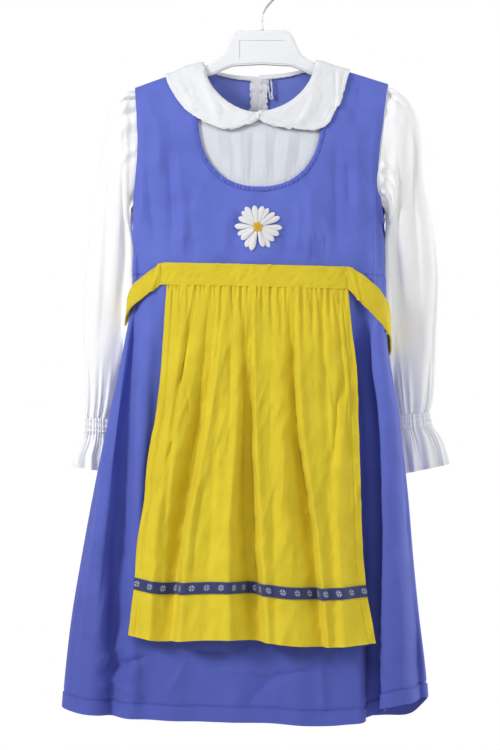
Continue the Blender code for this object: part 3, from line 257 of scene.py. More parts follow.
# Valleys between the apron's gathers: their middles at four drops, half width at the band and the hem,
# and depth at the four drops.
VALLEY_DROPS = (0.390, 0.555, 0.690, 0.832)
APRON_VALLEYS = table(
    "x0 x1 x2 x3 wide_top wide_hem skew power d0 d1 d2 d3",
    (-0.1078, -0.1181, -0.1304, -0.1458, 0.0022, 0.0070, 0.0, 2.2, 0.0024, 0.0024, 0.0016, 0.0024),
    (-0.0979, -0.1112, -0.1216, -0.1302, 0.0022, 0.0070, 0.3, 2.2, 0.0030, 0.0010, 0.0026, 0.0000),
    (-0.0891, -0.1004, -0.1109, -0.1175, 0.0022, 0.0050, 0.0, 2.2, 0.0026, 0.0000, 0.0000, 0.0000),
    (-0.0797, -0.1075, -0.1200, -0.1290, 0.0020, 0.0060, 0.3, 2.2, 0.0055, 0.0045, 0.0000, 0.0000),
    (-0.0560, -0.0745, -0.0985, -0.1130, 0.0030, 0.0150, 0.56, 2.0, 0.0060, 0.0205, 0.0240, 0.0150),
    (-0.0486, -0.0552, -0.0610, -0.0707, 0.0022, 0.0090, 0.0, 2.2, 0.0030, 0.0020, 0.0024, 0.0024),
    (-0.0343, -0.0376, -0.0405, -0.0434, 0.0022, 0.0060, 0.2, 2.2, 0.0036, 0.0010, 0.0000, 0.0000),
    (-0.0239, -0.0258, -0.0277, -0.0296, 0.0020, 0.0060, 0.0, 2.2, 0.0026, 0.0014, 0.0010, 0.0000),
    (-0.0150, -0.0160, -0.0130, -0.0060, 0.0024, 0.0145, 0.40, 2.4, 0.0060, 0.0230, 0.0300, 0.0190),
    (0.0008, 0.0007, 0.0007, 0.0006, 0.0020, 0.0060, 0.0, 2.2, 0.0028, 0.0000, 0.0000, 0.0000),
    (0.0117, 0.0135, 0.0134, 0.0143, 0.0022, 0.0060, 0.0, 2.2, 0.0032, 0.0014, 0.0020, 0.0020),
    (0.0235, 0.0243, 0.0251, 0.0260, 0.0020, 0.0060, 0.0, 2.2, 0.0028, 0.0000, 0.0000, 0.0000),
    (0.0385, 0.0425, 0.0600, 0.0730, 0.0022, 0.0125, 0.66, 2.0, 0.0050, 0.0140, 0.0190, 0.0140),
    (0.0492, 0.0547, 0.0760, 0.0860, 0.0020, 0.0060, 0.0, 2.2, 0.0028, 0.0010, 0.0000, 0.0020),
    (0.0615, 0.0655, 0.0721, 0.0875, 0.0022, 0.0070, 0.0, 2.2, 0.0034, 0.0010, 0.0000, 0.0000),
    (0.0719, 0.0802, 0.0859, 0.0896, 0.0022, 0.0100, 0.3, 2.2, 0.0036, 0.0030, 0.0040, 0.0034),
    (0.0818, 0.0920, 0.0956, 0.0973, 0.0020, 0.0060, 0.0, 2.2, 0.0028, 0.0010, 0.0000, 0.0000),
    (0.0911, 0.1028, 0.1083, 0.1149, 0.0022, 0.0080, 0.2, 2.2, 0.0034, 0.0036, 0.0016, 0.0026),
)
# Ridges that stand up beside the deep valleys.
APRON_RIDGES = table(
    "x0 x1 x2 x3 wide_top wide_hem skew power d0 d1 d2 d3",
    (-0.0440, -0.0640, -0.0905, -0.1040, 0.0030, 0.0070, -0.6, 1.6, 0.0022, 0.0052, 0.0060, 0.0045),
    (-0.0160, -0.0285, -0.0400, -0.0400, 0.0018, 0.0070, 0.2, 2.0, 0.0000, 0.0030, 0.0050, 0.0040),
    (-0.0105, -0.0090, -0.0020, 0.0060, 0.0030, 0.0070, -0.6, 1.6, 0.0022, 0.0052, 0.0055, 0.0040),
    (0.0430, 0.0490, 0.0660, 0.0800, 0.0028, 0.0060, -0.6, 1.6, 0.0022, 0.0050, 0.0055, 0.0040),
    (-0.0850, -0.1125, -0.1290, -0.1400, 0.0018, 0.0050, 0.0, 2.0, 0.0010, 0.0020, 0.0030, 0.0020),
    (0.0660, 0.0720, 0.0900, 0.1000, 0.0020, 0.0070, 0.0, 2.0, 0.0010, 0.0020, 0.0020, 0.0020),
)

# Sleeves, from the armhole to the frill's edge: the outer and inner line of the sleeve seen from the
# front, its half thickness, and how far it hangs behind the middle plane.
SLEEVE_COLUMNS = "out_x out_drop in_x in_drop deep behind"
SLEEVES = {
    -1: table(
        SLEEVE_COLUMNS,
        (0.1525, 0.1445, 0.1535, 0.2885, 0.0165, 0.000),
        (0.1612, 0.1450, 0.1610, 0.2930, 0.0170, 0.000),
        (0.1725, 0.1465, 0.1655, 0.3010, 0.0190, 0.001),
        (0.1835, 0.1570, 0.1665, 0.3125, 0.0215, 0.004),
        (0.1915, 0.1690, 0.1655, 0.3250, 0.0225, 0.009),
        (0.1975, 0.1980, 0.1635, 0.3390, 0.0230, 0.014),
        (0.2055, 0.2500, 0.1615, 0.3560, 0.0235, 0.018),
        (0.2137, 0.3090, 0.1600, 0.3800, 0.0235, 0.022),
        (0.2212, 0.3740, 0.1600, 0.4120, 0.0230, 0.028),
        (0.2247, 0.4350, 0.1650, 0.4560, 0.0220, 0.035),
        (0.2250, 0.4800, 0.1730, 0.4980, 0.0200, 0.039),
        (0.2226, 0.5250, 0.1810, 0.5320, 0.0165, 0.041),
        (0.2227, 0.5530, 0.1890, 0.5550, 0.0115, 0.042),
    ),
    1: table(
        SLEEVE_COLUMNS,
        (0.1510, 0.1405, 0.1450, 0.2870, 0.0165, 0.000),
        (0.1600, 0.1405, 0.1525, 0.2915, 0.0170, 0.000),
        (0.1720, 0.1470, 0.1575, 0.3000, 0.0190, 0.001),
        (0.1850, 0.1575, 0.1590, 0.3120, 0.0215, 0.004),
        (0.1945, 0.1740, 0.1580, 0.3250, 0.0225, 0.009),
        (0.2015, 0.2000, 0.1565, 0.3380, 0.0230, 0.014),
        (0.2050, 0.2560, 0.1550, 0.3560, 0.0235, 0.018),
        (0.2155, 0.3080, 0.1540, 0.3800, 0.0235, 0.022),
        (0.2230, 0.3700, 0.1540, 0.4120, 0.0230, 0.028),
        (0.2225, 0.4330, 0.1580, 0.4560, 0.0220, 0.034),
        (0.2205, 0.4850, 0.1630, 0.4980, 0.0200, 0.037),
        (0.2168, 0.5270, 0.1690, 0.5320, 0.0165, 0.039),
        (0.2118, 0.5470, 0.1735, 0.5500, 0.0115, 0.040),
    ),
}
CUFFS = {
    -1: table(
        SLEEVE_COLUMNS,
        (0.2227, 0.5533, 0.1890, 0.5553, 0.0115, 0.042),
        (0.2232, 0.5650, 0.1885, 0.5665, 0.0118, 0.0425),
        (0.2235, 0.5730, 0.1885, 0.5745, 0.0120, 0.043),
    ),
    1: table(
        SLEEVE_COLUMNS,
        (0.2122, 0.5473, 0.1735, 0.5503, 0.0115, 0.040),
        (0.2143, 0.5570, 0.1735, 0.5600, 0.0118, 0.0405),
        (0.2158, 0.5670, 0.1735, 0.5700, 0.0120, 0.041),
    ),
}
FRILLS = {
    -1: table(
        SLEEVE_COLUMNS,
        (0.2240, 0.5733, 0.1882, 0.5748, 0.0120, 0.043),
        (0.2280, 0.5850, 0.1865, 0.5880, 0.0135, 0.044),
        (0.2360, 0.6010, 0.1850, 0.6040, 0.0150, 0.046),
        (0.2380, 0.6160, 0.1835, 0.6240, 0.0160, 0.047),
    ),
    1: table(
        SLEEVE_COLUMNS,
        (0.2163, 0.5673, 0.1740, 0.5703, 0.0120, 0.041),
        (0.2258, 0.5790, 0.1750, 0.5870, 0.0135, 0.042),
        (0.2318, 0.5950, 0.1765, 0.6050, 0.0150, 0.044),
        (0.2353, 0.6130, 0.1785, 0.6250, 0.0160, 0.045),
    ),
}
# Long creases of a sleeve: clock angle (0 outer edge, 90 front), depth, half width, first and last ring.
SLEEVE_CREASES = table(
    "angle deep wide first last",
    (62, -0.0028, 13, 3, 10),
    (105, -0.0042, 12, 2, 9),
    (140, 0.0024, 14, 4, 11),
    (215, -0.0035, 15, 3, 10),
    (285, -0.0040, 15, 3, 11),
    (30, -0.0018, 12, 6, 12),
    (330, 0.0020, 14, 4, 9),
)
FRILL_WAVES = 9
FRILL_WAVE_DEPTH = 0.0032

# The ties' way round from the ends of the band to the knot: turn round the body in degrees from the
# middle of the front, the drops of the upper and lower edge, and the distance off the cloth.
TIES = {
    -1: table(
        "turn top bottom off",
        (50.5, 0.3612, 0.3885, 0.0021),
        (56.9, 0.3713, 0.3988, 0.0050),
        (63.8, 0.3800, 0.4075, 0.0060),
        (72.9, 0.3888, 0.4163, 0.0055),
        (82.0, 0.4038, 0.4263, 0.0040),
        (90.0, 0.4138, 0.4333, 0.0032),
        (100.0, 0.4240, 0.4440, 0.0035),
        (120.0, 0.4430, 0.4650, 0.0070),
        (142.0, 0.4630, 0.4870, 0.0100),
        (160.0, 0.4780, 0.5020, 0.0110),
        (175.4, 0.4885, 0.5085, 0.0115),
    ),
    1: table(
        "turn top bottom off",
        (42.9, 0.3655, 0.3935, 0.0021),
        (49.6, 0.3750, 0.4113, 0.0070),
        (55.6, 0.3850, 0.4231, 0.0090),
        (62.5, 0.3950, 0.4350, 0.0095),
        (70.0, 0.4063, 0.4463, 0.0085),
        (79.5, 0.4163, 0.4563, 0.0060),
        (90.0, 0.4406, 0.4706, 0.0035),
        (105.0, 0.4520, 0.4780, 0.0040),
        (125.0, 0.4630, 0.4880, 0.0090),
        (145.0, 0.4730, 0.4970, 0.0110),
        (160.0, 0.4800, 0.5040, 0.0110),
        (176.9, 0.4885, 0.5085, 0.0115),
    ),
}

# The collar's outer edge on each side, (x, drop): from the crest to the middle of the front, and from
# the crest to the slit behind.
COLLAR_FRONT = {
    -1: table(
        "x drop",
        (-0.1195, 0.1290),
        (-0.1125, 0.1462),
        (-0.1000, 0.1650),
        (-0.0825, 0.1800),
        (-0.0638, 0.1900),
        (-0.0475, 0.1950),
        (-0.0300, 0.1938),
        (-0.0163, 0.1888),
        (-0.0045, 0.1825),
    ),
    1: table(
        "x drop",
        (0.1085, 0.1230),
        (0.1050, 0.1338),
        (0.0988, 0.1556),
        (0.0950, 0.1650),
        (0.0875, 0.1775),
        (0.0825, 0.1875),
        (0.0675, 0.1962),
        (0.0512, 0.1962),
        (0.0275, 0.1938),
        (0.0075, 0.1888),
        (-0.0027, 0.1825),
    ),
}
COLLAR_BACK = {
    -1: table(
        "x drop",
        (-0.1195, 0.1290),
        (-0.1150, 0.1480),
        (-0.1000, 0.1640),
        (-0.0730, 0.1730),
        (-0.0420, 0.1740),
        (-0.0220, 0.1690),
        (-0.0120, 0.1610),
        (-0.0090, 0.1490),
    ),
    1: table(
        "x drop",
        (0.1085, 0.1230),
        (0.1060, 0.1450),
        (0.0930, 0.1640),
        (0.0670, 0.1730),
        (0.0360, 0.1740),
        (0.0160, 0.1690),
        (0.0060, 0.1610),
        (0.0030, 0.1490),
    ),
}

# Steps from the crest that neighbouring edges share, coarse and fine, and the bend of a fan's lines
CREST_STEPS = (0.0, 0.0045, 0.0095)
SMOOTH_STEPS = tuple(np.linspace(0, CREST_STEPS[-1], 7))
FAN_BEND = 0.9

# What the fine cloth adds to the solids' sizes
APRON_FULLNESS = 0.0085
SMALL_VALLEY = 0.0025
WAIST_LAP = 0.0006
PLACKET = (-0.0150, 0.0068)
COLLAR_SEAM = 0.0008
BINDING_HALF = 0.0018


def smooth(xs, ys, at):
    """A cubic curve through the points (xs, ys), read at the given values; xs rise."""
    at = np.clip(at, xs[0], xs[-1])
    slope = np.gradient(ys, xs)
    i = np.clip(np.searchsorted(xs, at, side="right") - 1, 0, len(xs) - 2)
    span = xs[i + 1] - xs[i]
    t = (at - xs[i]) / span
    return (
        (1 + 2 * t) * (1 - t) ** 2 * ys[i]
        + t * (1 - t) ** 2 * span * slope[i]
        + t * t * (3 - 2 * t) * ys[i + 1]
        + t * t * (t - 1) * span * slope[i + 1]
    )


def read(columns, name, at, key="drop"):
    return smooth(columns[key], columns[name], at)


def ease(t):
    t = np.clip(t, 0, 1)
    return t * t * (3 - 2 * t)


def half_width(x, drop):
    return np.where(x < 0, read(BODY, "left", drop), read(BODY, "right", drop))


def ridge_drop(x):
    """The drop of the shoulder's crest, carried on across the neck opening."""
    x = np.asarray(x, float)
    slope = np.where(x < 0, SHOULDER_SLOPE[-1], SHOULDER_SLOPE[1])
    return SHOULDER_DROP + slope * (np.hypot(x, PEAK_ROUND) - math.hypot(NECK_HALF, PEAK_ROUND))


def from_crest(x, drop):
    """The distance over the cloth from the shoulder's crest down to a place."""
    down = np.maximum(drop - ridge_drop(x), 0)
    bend = RIDGE_RADIUS * np.arccos(np.clip(1 - down / RIDGE_RADIUS, 0, 1))
    return bend + np.maximum(down - RIDGE_RADIUS, 0)


def below_crest(x, distance):
    """The drop of the place that lies that far over the cloth from the crest."""
    quarter = RIDGE_RADIUS * math.pi / 2
    bend = RIDGE_RADIUS * (1 - np.cos(np.minimum(distance, quarter) / RIDGE_RADIUS))
    return ridge_drop(x) + bend + np.maximum(distance - quarter, 0)


def cloth_depth(x, drop, side):
    """How far the pinafore's outer face stands from the middle plane, in front (-1) or behind (1)."""
    across = np.clip(np.abs(x) / half_width(x, drop), 0, 1)
    belly = read(BODY, "front" if side < 0 else "back", drop) * (1 - across**2) ** (BOXINESS / 2)
    below = drop - ridge_drop(x) - RIDGE_RADIUS
    settle = 1 - np.exp(-np.maximum(below, 0) / SETTLE)
    rise = np.clip(-below / RIDGE_RADIUS, 0, 1)
    return (RIDGE_RADIUS * (1 - settle) + belly * settle) * np.sqrt(1 - rise**2)


def fold_shift(x, drop, folds):
    """How far the folds carry the cloth outwards at a place."""
    out = np.zeros_like(x)
    hem = BODY["drop"][-1]
    for row in each_row(folds):
        down = np.clip((drop - row["start"]) / (hem - row["start"]), 0, 1)
        middle = row["x_start"] + (row["x_hem"] - row["x_start"]) * down
        wide = row["wide_start"] + (row["wide_hem"] - row["wide_start"]) * down
        grown = ease((drop - row["start"]) / (row["full"] - row["start"]))
        faded = 1 - ease((drop - row["fade"]) / FADE_LENGTH)
        out += row["out"] * grown * faded * np.exp(-np.abs((x - middle) / wide) ** row["power"])
    return out


def cloth(x, drop, side, folded=True):
    """Points of the pinafore's outer face."""
    x, drop = np.broadcast_arrays(np.asarray(x, float), np.asarray(drop, float))
    depth = cloth_depth(x, drop, side)
    if folded:
        edge = ease((1 - np.abs(x) / half_width(x, drop)) / 0.08)
        depth = depth + edge * fold_shift(x, drop, FRONT_FOLDS if side < 0 else BACK_FOLDS)
    return np.stack([x, side * depth, -drop], axis=-1)


def to_turn(x, drop):
    return np.arcsin(np.clip(x / half_width(x, drop), -1, 1))


def place(turn, distance):
    """(x, drop) of the place at that turn round the body and that distance from the crest."""
    x = np.sin(turn) * half_width(turn, UNDERARM_DROP)
    for _ in range(5):
        x = np.sin(turn) * half_width(turn, below_crest(x, distance))
    return x, below_crest(x, distance)


def neck_edge(hand, side, grow=0.0, count=200):
    """(x, drop) along half of the neck's edge, from the crest to the middle in front or behind."""
    turn = np.linspace(math.pi / 2, 0, count)
    half = NECK_HALF + grow
    deep = (NECK_FRONT_DEPTH if side < 0 else NECK_BACK_DEPTH) + grow
    across = np.sin(turn) ** 0.9
    fall = deep * (1 - np.clip(across, 0, 1) ** NECK_POWER) ** (1 / NECK_POWER)
    return MIDDLE + hand * half * across, ridge_drop(MIDDLE + hand * half) + fall


def scoop_edge(hand, grow=0.0, count=400):
    """(x, drop) along half of the front's scooped edge, from the crest to the middle."""
    share = np.linspace(0, 0.5, count)
    arc = np.clip((share - 0.16) / 0.68, 0, 1) * math.pi
    half, deep = SCOOP_HALF + grow, SCOOP_DEPTH + grow
    x = half * np.abs(np.cos(arc)) ** (2 / SCOOP_POWER)
    drop = SCOOP_CENTRE_DROP + deep * np.abs(np.sin(arc)) ** (2 / SCOOP_POWER)
    up = np.clip((0.16 - share) / 0.16, 0, 1)
    top = SCOOP_TOP_HALF + grow
    crest = ridge_drop(MIDDLE + hand * top)
    x = np.where(up > 0, half + (top - half) * up**1.6, x)
    drop = np.where(up > 0, SCOOP_CENTRE_DROP + (crest - SCOOP_CENTRE_DROP) * up, drop)
    return MIDDLE + hand * x, drop


def armhole_edge(hand, side, count=200):
    """(x, drop) down half of an armhole's edge, from the crest to the underarm."""
    tip = ridge_drop(armhole_x(SHOULDER_DROP, hand, side))
    drop = np.linspace(tip, UNDERARM_DROP, count)
    x = armhole_x(drop, hand, side)
    x[0] = armhole_x(SHOULDER_DROP, hand, side)
    return x, drop


def stations(line, count, start=CREST_STEPS):
    """Picks count places on a fine edge line: some close together at its start, the rest evenly."""
    x, drop = line
    index = np.arange(len(x))
    first = np.interp(start, from_crest(x, drop), index)
    walked = np.concatenate([[0], np.cumsum(np.hypot(np.diff(x), np.diff(drop)))])
    begin = np.interp(first[-1], index, walked)
    rest = np.linspace(begin, walked[-1], count - len(first) + 1)[1:]
    picks = np.concatenate([first, np.interp(rest, walked, index)])
    return np.interp(picks, index, x), np.interp(picks, index, drop)


def joined(*lines):
    """Lines of (x, drop) one after another, each but the first without its first place."""
    xs = [lines[0][0]] + [line[0][1:] for line in lines[1:]]
    drops = [lines[0][1]] + [line[1][1:] for line in lines[1:]]
    return np.concatenate(xs), np.concatenate(drops)


def back_to_front(line):
    return line[0][::-1], line[1][::-1]


def fan(outer, inner, shares):
    """(x, drop) of a grid from an outer edge (share 0) to an inner edge (share 1). Its lines leave
    the outer edge a little more level than straight ones would, to clear the armhole's hollow."""
    ends = [(to_turn(x, drop), from_crest(x, drop)) for x, drop in (outer, inner)]
    rows = []
    for share in shares:
        sooner = share + FAN_BEND * share * (1 - share) ** 2
        turn = ends[0][0] + (ends[1][0] - ends[0][0]) * sooner
        distance = ends[0][1] + (ends[1][1] - ends[0][1]) * share
        rows.append(place(turn, distance))
    return np.array([row[0] for row in rows]), np.array([row[1] for row in rows])


def unit(vectors):
    """The same directions with a length of 1."""
    return vectors / np.maximum(np.linalg.norm(vectors, axis=-1, keepdims=True), 1e-12)


def grid_normals(points, loop, facing):
    """Unit normals of a grid [row, column], turned to the side that facing points to."""
    if loop:
        across = np.roll(points, -1, axis=1) - np.roll(points, 1, axis=1)
    else:
        across = np.gradient(points, axis=1)
    normal = unit(np.cross(across, np.gradient(points, axis=0)))
    return normal if (normal * facing).sum() > 0 else -normal


def armhole_x(drop, hand, side):
    name = HAND_NAMES[hand]
    share = read(ARMHOLE_FRONT if side < 0 else ARMHOLE_BACK, name, drop)
    return hand * read(BODY, name, drop) * share


def side_edge(hand, count):
    """(x, drop) down a side seam, from the underarm to the waist."""
    drop = np.linspace(UNDERARM_DROP, WAIST_DROP + WAIST_LAP, count)
    return hand * read(BODY, HAND_NAMES[hand], drop), drop


def waist_edge(start, stop, count):
    """(x, drop) along the bodice's lower edge between two turns."""
    turn = np.linspace(start, stop, count)
    drop = np.full(count, WAIST_DROP + WAIST_LAP)
    return np.sin(turn) * half_width(turn, drop), drop


def draped(x, drop, side, lift=0.0):
    """Points lift off the pinafore's outer face at (x, drop)."""
    step = 0.0004
    here = cloth(x, drop, side, folded=False)
    right = cloth(x + step, drop, side, folded=False)
    down = cloth(x, drop + step, side, folded=False)
    normal = unit(np.cross(right - here, down - here))
    normal *= np.where((normal[..., 1] * side) < 0, -1, 1)[..., None]
    return here + normal * lift


def round_neck(hand, counts):
    """Points on the cloth along half the neck's edge, from the front's middle to the back's."""
    parts = []
    for side, count in zip((-1, 1), counts):
        x, drop = stations(neck_edge(hand, side), count)
        parts.append(cloth(x, drop, side, folded=False))
    return np.concatenate([parts[0][::-1], parts[1][1:]])


def sleeve_rings(columns, hand, around, shares, inside=False):
    """Rings of a sleeve: each an oval from the inner to the outer line seen from the front."""
    at = np.linspace(0, 1, len(columns["out_x"]))
    angle = 2 * math.pi * np.arange(around) / around
    rings = []
    for t in shares:
        row = {name: float(smooth(at, column, np.array(t))) for name, column in columns.items()}
        outer = np.array([row["out_x"], -row["out_drop"]])
        inner = np.array([row["in_x"], -row["in_drop"]])
        middle, reach = (outer + inner) / 2, (outer - inner) / 2
        flat = middle + np.cos(angle)[:, None] * reach
        y = row["behind"] - row["deep"] * np.sin(angle)
        if inside:
            y = inside_armhole(flat, y, hand, 1 - ease((t - 0.10) / 0.08))
        rings.append(np.stack([hand * flat[:, 0], y, flat[:, 1]], axis=1))
    return np.array(rings), angle


def inside_armhole(flat, y, hand, held_share):
    """Keeps the sleeve's first rings inside the armhole that they are sewn into."""
    drop = np.clip(-flat[:, 1], SHOULDER_DROP, UNDERARM_DROP)
    for side in (-1, 1):
        edge = np.abs(armhole_x(drop, hand, side))
        room = cloth_depth(hand * edge, drop, side) - CLOTH - LAYER_GAP
        held = side * np.minimum(side * y, np.maximum(room, 0.001))
        past = ease((np.abs(flat[:, 0]) - edge - 0.004) / 0.012)
        y = y + (held - y) * (1 - past) * held_share
    return y


def band_drop(x, share):
    """The drop of a place on the waistband, which slopes a little down to the right."""
    return BAND_TOP + BAND_FALL * (x - BAND_LEFT) + BAND_HEIGHT * share


def apron_points(share, drop_share):
    """Points of the apron's outer face; share runs across, drop_share down."""
    top = band_drop(BAND_LEFT + (BAND_RIGHT - BAND_LEFT) * share, 1) + SEAM_GAP
    hem = read(APRON_HEM, "drop", share, key="share")
    drop = top + (hem - top) * drop_share
    left, right = read(APRON_SIDES, "left", drop), read(APRON_SIDES, "right", drop)
    x = left + (right - left) * share
    off = read(APRON_SIDES, "off", drop) + APRON_FULLNESS * ease((drop - 0.42) / 0.22)
    settled = 0.6 + 0.4 * ease(np.minimum(share, 1 - share) / 0.10)
    valley = np.minimum(relief(APRON_VALLEYS, x, drop), np.maximum(off * settled - 0.0045, 0.0008))
    depth = cloth_depth(x, drop, -1) + off * settled - valley + relief(APRON_RIDGES, x, drop)
    return np.stack([x, -depth, -drop], axis=-1)


def relief(columns, x, drop):
    """How deep the apron's valleys, or how high its ridges, are at a place. Small ones run out below the
    band, each at its own length, and come back lower down."""
    total = np.zeros_like(x)
    drops = np.array(VALLEY_DROPS)
    down = np.clip((drop - drops[0]) / (drops[-1] - drops[0]), 0, 1)
    for i, row in enumerate(each_row(columns)):
        middle, deep = (smooth(drops, np.array([row[f"{k}{n}"] for n in range(4)]), drop) for k in "xd")
        wide = row["wide_top"] + (row["wide_hem"] - row["wide_top"]) * down**0.8
        wide = wide * np.where(x < middle, 1 + row["skew"], 1 - row["skew"])
        if row["d1"] < SMALL_VALLEY:
            short = ease((drop - 0.398) / (0.040 + 0.022 * (i % 3)))
            deep = deep * (1 - 0.85 * short * (1 - ease((drop - 0.58) / 0.10)))
        total += np.maximum(deep, 0) * np.exp(-np.abs((x - middle) / wide) ** row["power"])
    return total


def knot_centre():
    depth = read(BODY, "back", np.array(KNOT_DROP)) + 0.0150
    return np.array([MIDDLE, float(depth), -KNOT_DROP])


def walked_along(path):
    """The distance along a path to each of its points."""
    return np.concatenate([[0], np.cumsum(np.linalg.norm(np.diff(path, axis=0), axis=1))])


def between(at, known, values):
    """Rows of values, read at places between the known ones."""
    return np.stack([np.interp(at, known, values[:, k]) for k in range(values.shape[1])], axis=-1)


def smooth_line(points, count):
    """Evenly spaced points on the smooth curve through the given ones."""
    steps = walked_along(points)
    at = np.linspace(0, steps[-1], count)
    return np.stack([smooth(steps, points[:, k], at) for k in range(points.shape[1])], axis=1)


# The picture: 500 x 750, with 1.25 mm a pixel at the dress
PICTURE_HEIGHT = 0.9375
CAMERA_DISTANCE = 3.3
CAMERA_TARGET = (-0.015, 0.0, -0.5)
SENSOR = 36.0
FLOOR_DROP = 1.25
FLOOR_RADIUS = 1.3
AMBIENT = 0.27
LIGHT_TARGET = (-0.01, 0, -0.5)
# Square lights: the name, place, width in metres and power in watts.
LIGHTS = (
    ("key", (-2.5, -1.8, 0.9), 0.9, 80),
    ("fill", (2.4, -1.9, 0.2), 1.6, 24),
    ("front", (0.1, -2.8, 1.5), 1.0, 19),
    ("right rim", (2.5, 0.7, 0.1), 1.2, 36),
    ("back key", (1.4, 2.6, 0.5), 1.4, 30),
    ("back fill", (-2.0, 2.2, 0.0), 1.6, 14),
)

# Corners of a box that holds nothing back
FAR = 9
LOW = (-FAR, -FAR, -FAR)
HIGH = (FAR, FAR, FAR)

# Parts that only the scene sizes: the skirt's hem stitches as a share of its length, the blouse front's
# first steps from the crest, the hanging loop, a petal's steps along and across, and the eye's knots
HEM_SHARE = 1 - 0.0185 / 0.55
BIB_STEPS = tuple(np.linspace(0.009, 0.014, 3))
LOOP_DROPS = (0.1262, 0.1500)
LOOP_X = 0.0094
LOOP_HALF = 0.00085
PETAL_STEPS = (14, 9)
EYE_KNOTS = 58

# Stitches: the pitch and length along an edge, the step that reads their direction, and their lift,
# radius, sides and rings
EDGE_STITCH = (0.0026, 0.0019)
PATH_STEP = 0.0004
THREAD_LIFT = 0.0001
THREAD_RADIUS = 0.00024
THREAD_SIDES = 5
THREAD_RINGS = ((-0.5, 0.25), (-0.36, 0.85), (0.36, 0.85), (0.5, 0.25))

# The random lattice's size and offset, and where and how fast painted shade darkens the blue down the skirt
LATTICE = 64
LATTICE_START = (17.3, 9.1)
PAINTED_SHADE_START = 0.34
PAINTED_SHADE_RATE = -2.0


def crumple(u, v, size, seed, stretch=1.0):
    """A smooth random height between about -1 and 1 over a plane, in lumps of the given size."""
    rng = np.random.default_rng(seed)
    lattice = rng.uniform(-1, 1, (LATTICE, LATTICE))
    a = np.asarray(u, float) / size + LATTICE_START[0]
    b = np.asarray(v, float) / (size * stretch) + LATTICE_START[1]
    i, j = np.floor(a).astype(int), np.floor(b).astype(int)
    s, t = a - i, b - j
    s, t = s * s * (3 - 2 * s), t * t * (3 - 2 * t)
    left, right, near, far = i % LATTICE, (i + 1) % LATTICE, j % LATTICE, (j + 1) % LATTICE
    first = lattice[left, near] * (1 - s) + lattice[right, near] * s
    second = lattice[left, far] * (1 - s) + lattice[right, far] * s
    return first * (1 - t) + second * t


def strokes(u, v, columns):
    """Heights of listed creases: each runs from (u0, v0) to (u1, v1), bowed to one side, with its own
    half width and depth, steeper on one side (skew), and fades at both ends."""
    total = np.zeros_like(u)
    for row in each_row(columns):
        du, dv = row["u1"] - row["u0"], row["v1"] - row["v0"]
        length = math.hypot(du, dv)
        t = ((u - row["u0"]) * du + (v - row["v0"]) * dv) / length**2
        s = ((u - row["u0"]) * dv - (v - row["v0"]) * du) / length
        inside = np.clip(t, 0, 1)
        s = s - row["bow"] * 4 * inside * (1 - inside)
        wide = row["wide"] * np.where(s > 0, 1 + row["skew"], 1 - row["skew"])
        fade = ease(t / 0.3) * ease((1 - t) / 0.3)
        total += 1.25 * row["deep"] * fade * np.exp(-(np.abs(s / wide) ** 1.3))
    return total


def rim(a, b, first, second, size, turned):
    """Faces that join an edge's outer places a and b to the inner ones, with their places on the cloth."""
    faces = [b, a, a + size, b + size] if turned else [a, b, b + size, a + size]
    ends = [second, first, first, second] if turned else [first, second, second, first]
    return np.stack(faces, axis=-1), np.stack(ends, axis=1)


def shell_faces(points, loop):
    """The outer, inner and rim faces of a shell over a grid, with their corners' places on the cloth."""
    rows, columns = points.shape[:2]
    size = rows * columns
    last = columns if loop else columns - 1
    across, down = measured(points, loop)
    j, i = np.meshgrid(np.arange(rows - 1), np.arange(last), indexing="ij")
    k = (i + 1) % columns
    corner = [(j, i, i), (j, k, i + 1), (j + 1, k, i + 1), (j + 1, i, i)]
    front = np.stack([a * columns + b for a, b, _ in corner], axis=-1).reshape(-1, 4)
    spots = np.stack([np.stack([across[a, c], down[a, b]], axis=-1) for a, b, c in corner], axis=2)
    spots = spots.reshape(-1, 4, 2)
    parts = [(front, spots), (front[:, ::-1] + size, spots[:, ::-1])]
    edge = np.arange(last)
    for row, turned in ((0, True), (rows - 1, False)):
        a, b = row * columns + edge, row * columns + (edge + 1) % columns
        level = np.full(last, down[row, 0])
        ends = [np.stack([run[:last], level], axis=-1) for run in (across[row, :-1], across[row, 1:])]
        parts.append(rim(a, b, *ends, size, turned))
    if not loop:
        edge = np.arange(rows - 1)
        for column, turned in ((0, False), (columns - 1, True)):
            a, b = edge * columns + column, (edge + 1) * columns + column
            level = np.full(rows - 1, across[0, column])
            ends = [np.stack([level, run], axis=-1) for run in (down[:-1, column], down[1:, column])]
            parts.append(rim(a, b, *ends, size, turned))
    return (np.concatenate(arrays) for arrays in zip(*parts))


